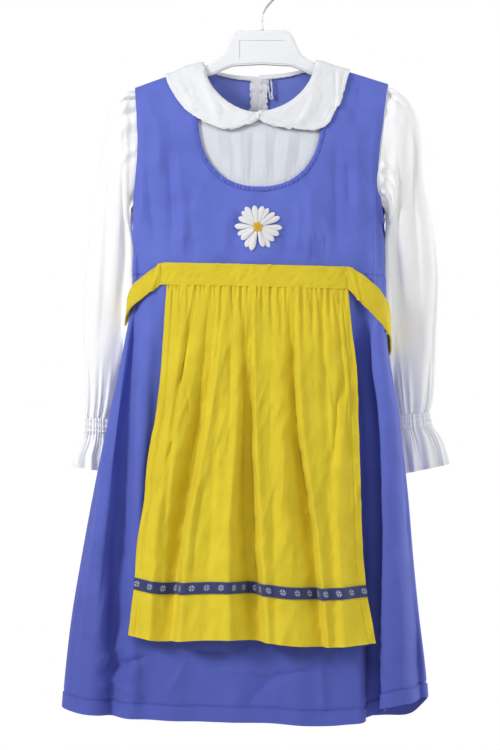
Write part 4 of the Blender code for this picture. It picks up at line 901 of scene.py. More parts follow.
def shell(
    name,
    look,
    nodes,
    points,
    lift=None,
    out=-CLOTH,
    thick=CLOTH,
    loop=False,
    facing=(0, -1, 0),
    level_rows=(),
    low=LOW,
    high=HIGH,
):
    """A thin cloth shell on a grid of points[row, column], lifted along its normals. It stands for the CAD
    nodes. Returns the object, the points of its outer face and their normals."""
    points = np.array(points, float)
    if loop:
        facing = points - points.mean(axis=1, keepdims=True)
    facing = np.asarray(facing, float)
    if lift is not None:
        points = points + grid_normals(points, loop, facing) * lift[..., None]
    normal = grid_normals(points, loop, facing)
    for row in level_rows:
        normal[row, :, 2] = 0
    normal = unit(normal)
    outer, inner = (np.clip(points + normal * step, low, high) for step in (out + thick, out))
    faces, uvs = shell_faces(points, loop)
    rows, columns = points.shape[:2]
    middle = (rows // 2) * columns + columns // 2
    near = outer.reshape(-1, 3)[[middle, middle + 1, middle + 1 + columns]]
    if np.cross(near[1] - near[0], near[2] - near[1]) @ normal.reshape(-1, 3)[middle] < 0:
        faces, uvs = faces[:, ::-1], uvs[:, ::-1]
    mesh = bpy.data.meshes.new(name)
    verts = np.concatenate([outer.reshape(-1, 3), inner.reshape(-1, 3)])
    mesh.from_pydata(verts.tolist(), [], faces.tolist())
    layer = mesh.uv_layers.new(name="UVMap")
    layer.data.foreach_set("uv", uvs.reshape(-1).astype(np.float32))
    return finish_piece(name, mesh, look, nodes), outer, normal


def sewn(name, look, points, lift=None, **form):
    """The cloth shell that stands for the CAD node of that name."""
    return shell(name + "_cloth", look, [name], points, lift, **form)


def measured(points, loop):
    """Lengths in metres along the rows (with the closing step of a loop) and down the columns."""
    if loop:
        points = np.concatenate([points, points[:, :1]], axis=1)
    step = np.linalg.norm(np.diff(points, axis=1), axis=2)
    across = np.concatenate([np.zeros((len(points), 1)), np.cumsum(step, axis=1)], axis=1)
    across -= across[:, -1:] / 2
    step = np.linalg.norm(np.diff(points, axis=0), axis=2)
    down = np.concatenate([np.zeros((1, points.shape[1])), np.cumsum(step, axis=0)])
    return across, down


def finish_piece(name, mesh, look, nodes=()):
    """Makes the object, with its material, fixed to the body. It hides the nodes it stands for."""
    material, slot = look
    piece = bpy.data.objects.new(name, mesh)
    bpy.context.scene.collection.objects.link(piece)
    mesh.materials.append(material)
    mesh.shade_smooth()
    mesh.set_sharp_from_angle(angle=math.radians(55))
    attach(piece, "root")
    if nodes:
        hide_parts(*nodes)
    return piece


def turn_outwards(mesh):
    """Turns the faces of closed forms outwards."""
    bm = bmesh.new()
    bm.from_mesh(mesh)
    bmesh.ops.recalc_face_normals(bm, faces=bm.faces)
    bm.to_mesh(mesh)
    bm.free()


class Threads:
    """Collects small rounded lengths of thread, and makes them into one piece."""

    def __init__(self):
        self.verts, self.faces = [], []

    def add(self, middle, way, normal, length, radius, flat=0.6):
        side = unit(np.cross(way, normal))
        up = np.cross(side, way)
        first, count = len(self.verts), THREAD_SIDES
        for along, size in THREAD_RINGS:
            for a in range(count):
                turn = 2 * math.pi * a / count
                offset = math.cos(turn) * side + flat * math.sin(turn) * up
                self.verts.append(middle + way * along * length + offset * radius * size)
        last = first + (len(THREAD_RINGS) - 1) * count
        for base in range(first, last, count):
            for a in range(count):
                b = (a + 1) % count
                self.faces.append((base + a, base + b, base + count + b, base + count + a))
        self.faces.append(tuple(range(first + count - 1, first - 1, -1)))
        self.faces.append(tuple(range(last, last + count)))

    def row(self, path, normals, pitch=0.0032, length=0.0023):
        """Stitches along a path on a surface with the given normals."""
        walked = walked_along(path)
        at = np.arange(pitch / 2, walked[-1], pitch)
        ways = unit(between(at + PATH_STEP, walked, path) - between(at - PATH_STEP, walked, path))
        for spot, way, normal in zip(between(at, walked, path), ways, between(at, walked, normals)):
            self.add(spot + normal * THREAD_LIFT, way, normal, length, THREAD_RADIUS)

    def make(self, name, look):
        mesh = bpy.data.meshes.new(name)
        mesh.from_pydata([tuple(v) for v in self.verts], [], self.faces)
        turn_outwards(mesh)
        return finish_piece(name, mesh, look)


def link(tree, *sockets):
    for source, target in zip(sockets[::2], sockets[1::2]):
        tree.links.new(source, target)


def principled(name, roughness, metallic=0.0, sheen=0.0):
    material = bpy.data.materials.new(name)
    material.use_nodes = True
    shader = material.node_tree.nodes["Principled BSDF"]
    shader.inputs["Roughness"].default_value = roughness
    shader.inputs["Metallic"].default_value = metallic
    shader.inputs["Sheen Weight"].default_value = sheen
    return material, shader


def bumped(tree, shader, height, strength, distance):
    surface = tree.nodes.new("ShaderNodeBump")
    surface.inputs["Strength"].default_value = strength
    surface.inputs["Distance"].default_value = distance
    link(tree, height, surface.inputs["Height"], surface.outputs["Normal"], shader.inputs["Normal"])


def noise(tree, coords, scale, detail=2.0, roughness=0.5):
    node = tree.nodes.new("ShaderNodeTexNoise")
    node.inputs["Scale"].default_value = scale
    node.inputs["Detail"].default_value = detail
    node.inputs["Roughness"].default_value = roughness
    tree.links.new(coords, node.inputs["Vector"])
    return node.outputs["Fac"]


def ramp(tree, fac, low, high, dark, light):
    node = tree.nodes.new("ShaderNodeValToRGB")
    node.color_ramp.elements[0].position = low
    node.color_ramp.elements[0].color = (*dark, 1)
    node.color_ramp.elements[1].position = high
    node.color_ramp.elements[1].color = (*light, 1)
    tree.links.new(fac, node.inputs["Fac"])
    return node.outputs["Color"]


def maths(tree, kind, a, b=None):
    node = tree.nodes.new("ShaderNodeMath")
    node.operation = kind
    for socket, value in zip(node.inputs, (a, b)):
        if value is None:
            continue
        if isinstance(value, (int, float)):
            socket.default_value = value
        else:
            tree.links.new(value, socket)
    return node.outputs[0]


def wave(tree, coords, direction, period):
    node = tree.nodes.new("ShaderNodeTexWave")
    node.wave_type = "BANDS"
    node.bands_direction = direction
    node.inputs["Scale"].default_value = 2 * math.pi / 20 / period
    tree.links.new(coords, node.inputs["Vector"])
    return node.outputs["Fac"]


def painted_shade_below(tree, solid, colour, tone):
    """The colour, multiplied more and more by the tone down the skirt: painted shade that darkens the blue
    towards the hem.
    """
    split = tree.nodes.new("ShaderNodeSeparateXYZ")
    link(tree, solid, split.inputs[0])
    low = maths(tree, "MULTIPLY", maths(tree, "ADD", split.outputs["Z"], PAINTED_SHADE_START), PAINTED_SHADE_RATE)
    painted_shade_mix = tree.nodes.new("ShaderNodeMix")
    painted_shade_mix.data_type = "RGBA"
    painted_shade_mix.blend_type = "MULTIPLY"
    painted_shade_mix.clamp_factor = True
    painted_shade_mix.inputs[7].default_value = (*tone, 1)
    link(tree, low, painted_shade_mix.inputs[0], colour, painted_shade_mix.inputs[6])
    return painted_shade_mix.outputs[2]


def cotton(name, dark, light, yarn=0.00055, bump=0.35, roughness=0.82, sheen=0.12, hem_painted_shade=None):
    """Plain-woven cotton: crossing yarns, slubs, and a slight unevenness of colour; a hem tone, if given, is
    painted shade that darkens it down the skirt.
    """
    material, shader = principled(name, roughness, sheen=sheen)
    tree = material.node_tree
    place_in = tree.nodes.new("ShaderNodeTexCoord")
    flat, solid = place_in.outputs["UV"], place_in.outputs["Object"]
    warp, weft = wave(tree, flat, "X", yarn), wave(tree, flat, "Y", yarn * 1.1)
    yarns = maths(tree, "MAXIMUM", warp, weft)
    slubs = noise(tree, solid, 900, 3)
    cloud = noise(tree, solid, 22, 4, 0.6)
    height = maths(tree, "ADD", yarns, maths(tree, "MULTIPLY", slubs, 0.8))
    tone = maths(tree, "ADD", maths(tree, "MULTIPLY", cloud, 0.7), maths(tree, "MULTIPLY", slubs, 0.3))
    colour = ramp(tree, tone, 0.32, 0.68, dark, light)
    # Painted shade: the colour darkens more and more down the skirt.
    if hem_painted_shade:
        colour = painted_shade_below(tree, solid, colour, hem_painted_shade)
    link(tree, colour, shader.inputs["Base Color"])
    bumped(tree, shader, height, bump, yarn * 0.35)
    return material


def ribbon_look(name, dark, light, width):
    """A woven ribbon: dark satin with a paler edge along both sides."""
    material, shader = principled(name, 0.55, sheen=0.2)
    tree = material.node_tree
    flat = tree.nodes.new("ShaderNodeTexCoord").outputs["UV"]
    split = tree.nodes.new("ShaderNodeSeparateXYZ")
    link(tree, flat, split.inputs[0])
    share = maths(tree, "DIVIDE", split.outputs["Y"], width)
    to_edge = maths(tree, "ABSOLUTE", maths(tree, "SUBTRACT", share, 0.5))
    link(tree, ramp(tree, to_edge, 0.435, 0.475, dark, light), shader.inputs["Base Color"])
    yarns = maths(tree, "ADD", wave(tree, flat, "X", 0.0004), wave(tree, flat, "Y", 0.0009))
    bumped(tree, shader, yarns, 0.4, 0.0002)
    return material


def plain_look(name, dark, light, roughness, scale=60, bump=0.15, metallic=0.0):
    """A smooth material with a faint unevenness, such as thread, plastic or wire."""
    material, shader = principled(name, roughness, metallic)
    tree = material.node_tree
    solid = tree.nodes.new("ShaderNodeTexCoord").outputs["Object"]
    link(tree, ramp(tree, noise(tree, solid, scale, 3), 0.3, 0.7, dark, light), shader.inputs["Base Color"])
    bumped(tree, shader, noise(tree, solid, scale * 12, 2), bump, 0.0003)
    return material


STROKE_COLUMNS = "u0 v0 u1 v1 wide deep skew bow"
# Creases on the pinafore's front, in (x, drop).
BLUE_FRONT = table(
    STROKE_COLUMNS,
    (-0.1180, 0.215, -0.1130, 0.352, 0.0070, -0.0022, 0.3, 0.002),
    (-0.1060, 0.225, -0.1010, 0.350, 0.0080, 0.0020, 0.0, 0.003),
    (-0.1440, 0.235, -0.1300, 0.362, 0.0070, -0.0024, -0.3, -0.002),
    (-0.1300, 0.170, -0.1290, 0.262, 0.0110, 0.0018, 0.2, 0.003),
    (-0.0900, 0.262, -0.0840, 0.352, 0.0060, -0.0012, 0.0, -0.002),
    (-0.0450, 0.296, -0.0480, 0.362, 0.0080, 0.0011, 0.0, 0.001),
    (0.0300, 0.300, 0.0260, 0.362, 0.0080, -0.0011, 0.2, 0.001),
    (0.0600, 0.262, 0.0640, 0.362, 0.0090, 0.0014, 0.0, -0.002),
    (0.0930, 0.195, 0.0960, 0.358, 0.0090, -0.0016, 0.3, -0.003),
    (0.1130, 0.180, 0.1180, 0.330, 0.0100, 0.0016, 0.0, 0.003),
    (0.1210, 0.120, 0.1130, 0.200, 0.0100, -0.0012, 0.0, 0.003),
    (-0.1250, 0.130, -0.1080, 0.215, 0.0100, -0.0012, 0.0, -0.003),
    (-0.1540, 0.170, -0.1500, 0.330, 0.0060, 0.0012, 0.0, 0.003),
    (0.1450, 0.170, 0.1385, 0.300, 0.0060, 0.0012, 0.0, -0.002),
    (-0.1700, 0.500, -0.2050, 0.820, 0.0100, -0.0022, 0.3, 0.004),
    (-0.1900, 0.560, -0.2300, 0.880, 0.0090, 0.0020, 0.0, 0.003),
    (-0.1450, 0.460, -0.1500, 0.700, 0.0080, 0.0022, 0.0, -0.003),
    (-0.1780, 0.640, -0.1900, 0.905, 0.0090, -0.0016, 0.0, 0.002),
    (-0.2000, 0.870, -0.1500, 0.800, 0.0060, 0.0011, 0.3, 0.003),
    (-0.1300, 0.905, -0.0900, 0.842, 0.0060, 0.0012, -0.3, -0.003),
    (-0.0300, 0.920, 0.0350, 0.856, 0.0070, -0.0011, 0.0, 0.004),
    (-0.0700, 0.862, 0.0200, 0.868, 0.0050, 0.0009, 0.0, 0.002),
    (0.0700, 0.850, 0.0740, 0.922, 0.0070, 0.0014, 0.0, 0.001),
    (0.1680, 0.460, 0.1840, 0.760, 0.0080, -0.0018, 0.3, 0.003),
    (0.1420, 0.480, 0.1460, 0.740, 0.0050, -0.0012, 0.2, -0.002),
    (0.1600, 0.700, 0.1700, 0.900, 0.0060, 0.0010, 0.2, 0.002),
    (0.1960, 0.640, 0.2020, 0.880, 0.0060, 0.0020, 0.0, 0.001),
    (0.1375, 0.225, 0.1370, 0.420, 0.0030, 0.0016, 0.0, 0.000),
    (-0.1630, 0.330, -0.1520, 0.395, 0.0030, -0.0028, 0.3, 0.000),
    (-0.1080, 0.270, -0.1020, 0.335, 0.0050, -0.0018, 0.2, 0.001),
    (-0.0935, 0.322, -0.0925, 0.362, 0.0020, -0.0014, 0.0, 0.000),
    (-0.0885, 0.318, -0.0875, 0.362, 0.0020, -0.0012, 0.0, 0.000),
    (-0.0835, 0.326, -0.0835, 0.362, 0.0020, -0.0013, 0.0, 0.000),
    (0.0620, 0.324, 0.0610, 0.366, 0.0020, -0.0014, 0.0, 0.000),
    (0.0675, 0.320, 0.0665, 0.366, 0.0020, -0.0012, 0.0, 0.000),
    (0.0725, 0.328, 0.0720, 0.366, 0.0020, -0.0014, 0.0, 0.000),
    (0.0785, 0.322, 0.0780, 0.366, 0.0020, -0.0012, 0.0, 0.000),
    (-0.0300, 0.292, -0.0340, 0.340, 0.0060, -0.0014, 0.0, 0.001),
    (0.0450, 0.280, 0.0420, 0.350, 0.0060, 0.0014, 0.0, 0.001),
    (0.1050, 0.230, 0.1080, 0.300, 0.0060, -0.0016, 0.2, 0.001),
    (-0.1900, 0.860, -0.1350, 0.845, 0.0045, -0.0013, 0.0, 0.001),
    (-0.1850, 0.880, -0.1420, 0.900, 0.0045, 0.0012, 0.0, 0.001),
    (-0.0920, 0.838, -0.0350, 0.842, 0.0040, -0.0005, 0.0, 0.001),
    (-0.2080, 0.872, -0.1380, 0.8460, 0.0034, -0.0009, 0.0, 0.001),
    (-0.2060, 0.888, -0.1480, 0.8640, 0.0032, 0.0009, 0.0, 0.001),
    (-0.2100, 0.858, -0.1600, 0.8300, 0.0034, 0.0008, 0.0, 0.001),
    (-0.0960, 0.850, -0.0300, 0.8540, 0.0030, 0.0006, 0.0, 0.001),
    (0.0100, 0.872, 0.0700, 0.8600, 0.0032, -0.0012, 0.0, 0.001),
)
# The edge of the tubular fold beside the apron, which is sharp towards the apron.
TUBE_EDGE = table(
    "drop x",
    (0.384, 0.1350),
    (0.491, 0.1375),
    (0.541, 0.1437),
    (0.631, 0.1475),
    (0.857, 0.1490),
    (0.935, 0.1495),
)
# Creases on its back.
BLUE_BACK = table(
    STROKE_COLUMNS,
    (-0.1280, 0.150, -0.0950, 0.300, 0.0110, -0.0020, 0.2, 0.004),
    (-0.0800, 0.180, -0.0860, 0.350, 0.0110, 0.0020, 0.0, -0.004),
    (-0.0450, 0.200, -0.0500, 0.360, 0.0090, -0.0016, 0.2, 0.002),
    (0.0350, 0.190, 0.0460, 0.350, 0.0100, 0.0018, 0.0, 0.003),
    (0.0800, 0.160, 0.0760, 0.340, 0.0110, -0.0020, 0.2, 0.004),
    (0.1180, 0.180, 0.1120, 0.320, 0.0090, 0.0018, 0.0, -0.003),
    (-0.1000, 0.398, -0.0400, 0.372, 0.0060, 0.0012, 0.0, 0.002),
    (0.0400, 0.372, 0.1050, 0.402, 0.0060, 0.0012, 0.0, 0.003),
    (-0.1400, 0.480, -0.1620, 0.800, 0.0100, 0.0020, 0.2, 0.004),
    (-0.1080, 0.520, -0.1260, 0.860, 0.0080, -0.0022, 0.2, 0.003),
    (-0.0350, 0.500, -0.0440, 0.780, 0.0090, 0.0018, 0.0, -0.004),
    (0.0080, 0.560, 0.0100, 0.880, 0.0080, -0.0018, 0.2, 0.004),
    (0.0600, 0.460, 0.0700, 0.760, 0.0090, 0.0022, 0.0, 0.003),
    (0.1160, 0.520, 0.1300, 0.840, 0.0090, -0.0022, 0.2, -0.003),
    (0.1500, 0.600, 0.1700, 0.880, 0.0080, 0.0020, 0.0, 0.003),
    (-0.1900, 0.640, -0.2150, 0.880, 0.0090, -0.0020, 0.0, 0.003),
)
# Creases on the white blouse front.
BIB = table(
    STROKE_COLUMNS,
    (-0.0420, 0.190, -0.0330, 0.262, 0.0050, -0.0016, 0.2, 0.002),
    (-0.0280, 0.185, -0.0240, 0.266, 0.0045, 0.0014, 0.0, -0.001),
    (-0.0120, 0.185, -0.0150, 0.268, 0.0055, -0.0018, 0.3, 0.001),
    (0.0040, 0.188, 0.0020, 0.268, 0.0050, 0.0014, 0.0, 0.001),
    (0.0180, 0.190, 0.0140, 0.266, 0.0045, -0.0014, 0.2, -0.001),
    (0.0340, 0.195, 0.0260, 0.262, 0.0055, 0.0014, 0.0, 0.001),
    (0.0480, 0.196, 0.0420, 0.248, 0.0050, -0.0012, 0.0, 0.001),
    (-0.0580, 0.188, -0.0520, 0.240, 0.0050, 0.0012, 0.0, 0.001),
)
# Creases of the collar in front.
COLLAR_CREASES = table(
    STROKE_COLUMNS,
    (0.0905, 0.116, 0.0885, 0.180, 0.0026, -0.0022, 0.5, 0.001),
    (0.0945, 0.116, 0.0920, 0.180, 0.0030, 0.0020, 0.0, 0.001),
    (0.0640, 0.150, 0.0420, 0.194, 0.0040, 0.0016, 0.3, 0.002),
    (0.0760, 0.134, 0.0700, 0.192, 0.0040, -0.0014, 0.2, 0.001),
    (0.0480, 0.160, 0.0220, 0.190, 0.0035, -0.0012, 0.2, 0.001),
    (-0.1060, 0.134, -0.0820, 0.180, 0.0040, 0.0018, 0.3, 0.002),
    (-0.0920, 0.126, -0.0610, 0.184, 0.0040, -0.0016, 0.2, 0.002),
    (-0.0760, 0.132, -0.0500, 0.190, 0.0040, 0.0015, 0.3, 0.001),
    (-0.0580, 0.158, -0.0330, 0.192, 0.0035, -0.0013, 0.2, 0.001),
    (-0.1140, 0.140, -0.0980, 0.168, 0.0035, -0.0013, 0.0, 0.001),
    (-0.0300, 0.166, -0.0120, 0.186, 0.0030, 0.0010, 0.0, 0.000),
)
# Small creases on the apron, in (x, drop).
APRON_CREASES = table(
    STROKE_COLUMNS,
    (-0.1170, 0.520, -0.1330, 0.610, 0.0050, -0.0020, 0.3, 0.002),
    (-0.0905, 0.530, -0.1180, 0.600, 0.0036, 0.0020, 0.0, -0.002),
    (-0.0960, 0.512, -0.0880, 0.552, 0.0032, -0.0018, 0.0, 0.001),
    (-0.1080, 0.560, -0.1350, 0.660, 0.0050, -0.0026, 0.2, 0.003),
    (-0.1250, 0.640, -0.1420, 0.740, 0.0050, 0.0022, 0.0, 0.002),
    (-0.1380, 0.700, -0.1290, 0.800, 0.0060, -0.0022, 0.0, 0.002),
    (-0.0680, 0.600, -0.0860, 0.760, 0.0060, -0.0022, 0.3, -0.002),
    (0.0770, 0.480, 0.0900, 0.560, 0.0050, -0.0024, 0.2, 0.002),
    (0.1030, 0.480, 0.0850, 0.625, 0.0045, -0.0044, 0.3, -0.003),
    (0.1080, 0.500, 0.0960, 0.620, 0.0050, 0.0026, 0.0, -0.002),
    (0.0240, 0.560, 0.0180, 0.700, 0.0080, 0.0026, 0.2, 0.004),
    (0.0380, 0.620, 0.0420, 0.760, 0.0060, -0.0018, 0.2, 0.002),
    (0.0900, 0.660, 0.0960, 0.780, 0.0060, 0.0020, 0.0, 0.002),
    (-0.0520, 0.560, -0.0640, 0.760, 0.0080, 0.0022, 0.2, 0.003),
    (-0.0400, 0.440, -0.0430, 0.600, 0.0050, -0.0020, 0.2, 0.002),
    (0.0080, 0.480, 0.0060, 0.640, 0.0060, -0.0016, 0.0, 0.003),
    (0.1060, 0.420, 0.1120, 0.560, 0.0050, -0.0016, 0.0, 0.002),
    (0.0960, 0.700, 0.1180, 0.790, 0.0060, -0.0020, 0.2, 0.002),
    (-0.1000, 0.440, -0.1080, 0.520, 0.0040, 0.0020, 0.0, 0.001),
)


def tube_fold(x, drop):
    """The tubular fold beside the apron and the dark valley before it."""
    right = x - read(TUBE_EDGE, "x", drop)
    rise = 0.0070 * ease(right / 0.0040 + 0.5) * np.exp(-((np.maximum(right, 0) / 0.034) ** 2))
    fall = 0.0110 * np.exp(-(((right + 0.0100) / 0.0085) ** 4))
    return ease((drop - 0.376) / 0.12) * (rise - fall)


def blue_lift(x, drop, side):
    """The small creases of the pinafore, with a soft unevenness."""
    total = (1.5 + 0.9 * ease((drop - 0.42) / 0.1)) * strokes(x, drop, BLUE_FRONT if side < 0 else BLUE_BACK)
    if side < 0:
        total += tube_fold(x, drop)
        panel = ease((drop - 0.235) / 0.05) * (1 - ease((drop - 0.372) / 0.04))
        total -= 0.0030 * panel * ease((x - 0.1385) / 0.0040)
    total += 0.0009 * crumple(x, drop, 0.034, 3 + side, 2.2)
    total += 0.0017 * (0.4 - np.abs(crumple(x + 0.3 * drop, drop, 0.034, 5 + side, 2.6)))
    total += 0.0011 * (0.4 - np.abs(crumple(x - 0.3 * drop, drop, 0.016, 7 + side, 1.8)))
    below = ease((drop - ridge_drop(x)) / 0.02)
    return total * below


def at_armhole(x, drop, side):
    """0 at the armholes' edges and 1 from a little way in."""
    edges = np.where(x < 0, -armhole_x(drop, -1, side), armhole_x(drop, 1, side))
    return ease((np.abs(edges) - np.abs(x)) / 0.012)


def relaxed(x, drop, held=9, rounds=40):
    """Evens out a fan's inner places, so that its lines don't cross."""
    for _ in range(rounds):
        for grid in (x, drop):
            inner = grid[1:-1, held:-held]
            mean = grid[:-2, held:-held] + grid[2:, held:-held]
            mean = (mean + grid[1:-1, held - 1 : -held - 1] + grid[1:-1, held + 1 : 1 - held]) / 4
            inner += 0.6 * (mean - inner)
    return x, drop


PANEL_SHARES = np.unique(np.concatenate([np.linspace(0, 0.94, 52), np.linspace(0.94, 1, 6)]))


def bodice_front_piece(look):
    arms = {hand: stations(armhole_edge(hand, -1), 66, SMOOTH_STEPS) for hand in (-1, 1)}
    sides = {hand: side_edge(hand, 22) for hand in (-1, 1)}
    waist = waist_edge(-math.pi / 2, math.pi / 2, 131)
    outer = joined(arms[-1], sides[-1], waist, back_to_front(sides[1]), back_to_front(arms[1]))
    half = len(outer[0]) // 2 + 1
    scoops = {hand: stations(scoop_edge(hand), half, SMOOTH_STEPS) for hand in (-1, 1)}
    inner = joined(scoops[-1], back_to_front(scoops[1]))
    x, drop = relaxed(*fan(outer, inner, PANEL_SHARES))
    lift = blue_lift(x, drop, -1)
    lift = np.where(drop > UNDERARM_DROP, lift, lift * at_armhole(x, drop, -1))
    return sewn("bodice_front", look, cloth(x, drop, -1), lift, high=(FAR, 0, FAR))[0]


def scoop_casing(look, threads):
    """The gathered casing along the scooped edge, puckered by its elastic."""
    reach, wide, around = 0.0034, 0.0058, 460
    shares = np.linspace(0, 1, 8)
    rows = []
    for share in shares:
        edges = (scoop_edge(hand, grow=reach - wide * share) for hand in (-1, 1))
        halves = [stations(edge, around, SMOOTH_STEPS) for edge in edges]
        rows.append(joined(halves[0], back_to_front(halves[1])))
    x, drop = np.moveaxis(np.array(rows), 1, 0)
    points = cloth(x, drop, -1)
    across, _ = measured(points, False)
    uneven = 0.0009 * crumple(across, across * 0, 0.009, 5)
    leaning = across + 0.0022 * shares[:, None] * np.sign(across)
    pucker = np.cos(2 * math.pi * (leaning + uneven) / 0.0034)
    pucker += 0.5 * np.cos(2 * math.pi * (leaning - uneven) / 0.0053 + 1)
    round_over = np.sin(shares * math.pi)[:, None]
    lift = round_over * (0.0010 + 0.00075 * pucker * ease(from_crest(x, drop) / 0.05))
    form = {"out": -0.0002, "thick": 0.0007, "high": (FAR, -SEAM_GAP / 2, FAR)}
    _, face, normal = shell("scoop_casing", look, [], points, lift, **form)
    threads.row(face[1], normal[1])


def bodice_back_piece(look, hand, inside):
    """Half of the back, with half of the slit. Its inner side is painted a lighter blue: painted light
    falling in through the neck opening.
    """
    middle_turn = to_turn(MIDDLE, WAIST_DROP)
    waist = waist_edge(middle_turn, hand * math.pi / 2, 60)
    side = back_to_front(side_edge(hand, 20))
    arm = back_to_front(stations(armhole_edge(hand, 1), 60, SMOOTH_STEPS))
    outer = joined(waist, side, arm)
    inner = back_to_front(stations(neck_edge(hand, 1, NECK_SEAM), len(outer[0]), SMOOTH_STEPS))
    x, drop = relaxed(*fan(outer, inner, np.linspace(0, 1, 54)))
    slit_end = drop[-1, 0] + BACK_SLIT_LENGTH
    x[:, 0] = MIDDLE + hand * np.where(drop[:, 0] < slit_end, BACK_SLIT_HALF, SEAM_GAP / 2)
    low, high = [-FAR, 0, -FAR], list(HIGH)
    (high if hand < 0 else low)[0] = MIDDLE + hand * SEAM_GAP / 2
    lift = blue_lift(x, drop, 1) * ease(np.abs(x - MIDDLE) / 0.02)
    lift = np.where(drop > UNDERARM_DROP, lift, lift * at_armhole(x, drop, 1))
    form = {"facing": (0, 1, 0), "low": low, "high": high}
    piece = sewn("bodice_back_" + HAND_NAMES[hand], look, cloth(x, drop, 1), lift, **form)[0]
    # The inner faces take the lighter blue of painted light.
    piece.data.materials.append(inside)
    half = (x.shape[0] - 1) * (x.shape[1] - 1)
    for face in piece.data.polygons[half : 2 * half]:
        face.material_index = 1


def skirt_piece(look, side, threads):
    """The skirt in front or behind, with a hem stitched a little above its edge."""
    turn = np.radians(np.linspace(-90, 90, 221))
    top = WAIST_DROP - 2 * WAIST_LAP
    shares = [
        np.linspace(0, 0.80, 50),
        np.linspace(0.808, HEM_SHARE - 0.004, 44 if side < 0 else 34),
        [HEM_SHARE, HEM_SHARE + 0.003],
        np.linspace(HEM_SHARE + 0.008, 1, 5),
    ]
    shares = np.concatenate(shares)[:, None]
    stitched = len(shares) - 6
    hem = read(FRONT_HEM if side < 0 else BACK_HEM, "drop", np.degrees(turn), key="turn")
    drop = top + (hem - top) * shares
    x = np.sin(turn) * half_width(turn, drop)
    lift = blue_lift(x, drop, side) * ease((1 - np.abs(x) / half_width(x, drop)) / 0.03)
    lift[stitched - 2] -= 0.0004
    lift[stitched - 1] -= 0.0012
    lift[stitched:] += 0.0008
    lift -= 0.0014 * (1 - ease((drop - top) / 0.004))
    low, high = list(LOW), [FAR, FAR, -top]
    (high if side < 0 else low)[1] = 0
    form = {"facing": (0, side, 0), "low": low, "high": high}
    _, face, normal = sewn("skirt_" + FACE_NAMES[side], look, cloth(x, drop, side), lift, **form)
    threads.row(face[stitched, 2:-2], normal[stitched, 2:-2], pitch=0.0034, length=0.0025)


def bib_piece(look):
    """The blouse front, softly pleated behind the scooped edge."""
    lines = []
    for edge in (lambda hand: scoop_edge(hand, 0.009), lambda hand: neck_edge(hand, -1, NECK_SEAM)):
        halves = [stations(edge(hand), 90, start=BIB_STEPS) for hand in (-1, 1)]
        lines.append(joined(halves[0], back_to_front(halves[1])))
    x, drop = fan(lines[0], lines[1], np.linspace(0, 1, 44))
    clear = ease((drop - 0.15) / 0.03)
    lift = 0.8 * strokes(x, drop, BIB) * clear
    near = ease((drop - 0.225) / 0.03)
    lift += 0.0004 * near * np.cos(2 * math.pi * (x + 0.002 * crumple(x, drop, 0.01, 12)) / 0.0058)
    lift += 0.0005 * crumple(x, drop, 0.012, 11, 3.0) - 0.0012 * clear
    lift = np.minimum(lift, 0.0006)
    sewn("blouse_front", look, cloth(x, drop, -1), lift, out=-CLOTH - LAYER_GAP - 0.001, thick=0.001)


def collar_piece(look, hand, threads):
    """Half of the collar, stitched along its edge, from the front's middle over the crest to the slit."""
    edges = []
    for side, count, outline in ((-1, 92, COLLAR_FRONT), (1, 76, COLLAR_BACK)):
        line = smooth_line(np.stack([outline[hand]["x"], outline[hand]["drop"]], axis=1), 400)
        line[0, 1] = ridge_drop(line[0, 0])
        outer = stations((line[:, 0], line[:, 1]), count, SMOOTH_STEPS)
        inner_x, inner_drop = neck_edge(hand, side, COLLAR_SEAM, count=400)
        near = MIDDLE + hand * (0.0004 if side < 0 else 0.0045)
        keep = (inner_x - near) * hand > 0
        inner = stations((inner_x[keep], inner_drop[keep]), count, SMOOTH_STEPS)
        edges.append((outer, inner, side))
    rows = []
    for share in np.concatenate([np.linspace(0, 0.86, 28), np.linspace(0.88, 1, 9)]):
        parts = []
        for outer, inner, side in edges:
            far, close = (from_crest(*line) for line in (outer, inner))
            x = inner[0] + (outer[0] - inner[0]) * share
            drop = below_crest(x, close + (far - close) * share)
            parts.append(cloth(x, drop, side, folded=False))
        rows.append(np.concatenate([parts[0][::-1], parts[1][1:]]))
    points = np.array(rows)
    across, down = measured(points, False)
    far = down[-1] - down
    lift = strokes(points[..., 0], -points[..., 2], COLLAR_CREASES) * (points[..., 1] < 0)
    lift += 0.0007 * crumple(across, down, 0.016, 21 + hand, 1.3)
    lift += 0.0013 * (0.4 - np.abs(crumple(across + 0.5 * down, down, 0.011, 23 + hand, 1.6)))
    lift += 0.0006 * (0.4 - np.abs(crumple(across - 0.4 * down, down, 0.0065, 31 + hand, 1.4)))
    lift += 0.0005 * np.exp(-(((far - 0.0022) / 0.0016) ** 2))
    lift -= 0.0003 * np.exp(-(((far - 0.0052) / 0.0008) ** 2))
    lift = np.maximum(lift, -0.0005) + 0.0007 * ease(down / 0.004)
    form = {"out": 0.0012, "thick": 0.0014, "facing": points * (0, 40, 0) + (0, 0, 1.0)}
    _, face, normal = sewn("collar_" + HAND_NAMES[hand], look, points, lift, **form)
    row = int(np.argmin(np.abs(far[:, 60] - 0.0050)))
    threads.row(face[row, 3:-3], normal[row, 3:-3], *EDGE_STITCH)


def uneven_angle(angle, seed):
    """The angle round a ring, with its gathers unevenly spaced."""
    return angle + 0.16 * np.sin(2 * angle + seed) + 0.09 * np.sin(5 * angle + 2.1 * seed)


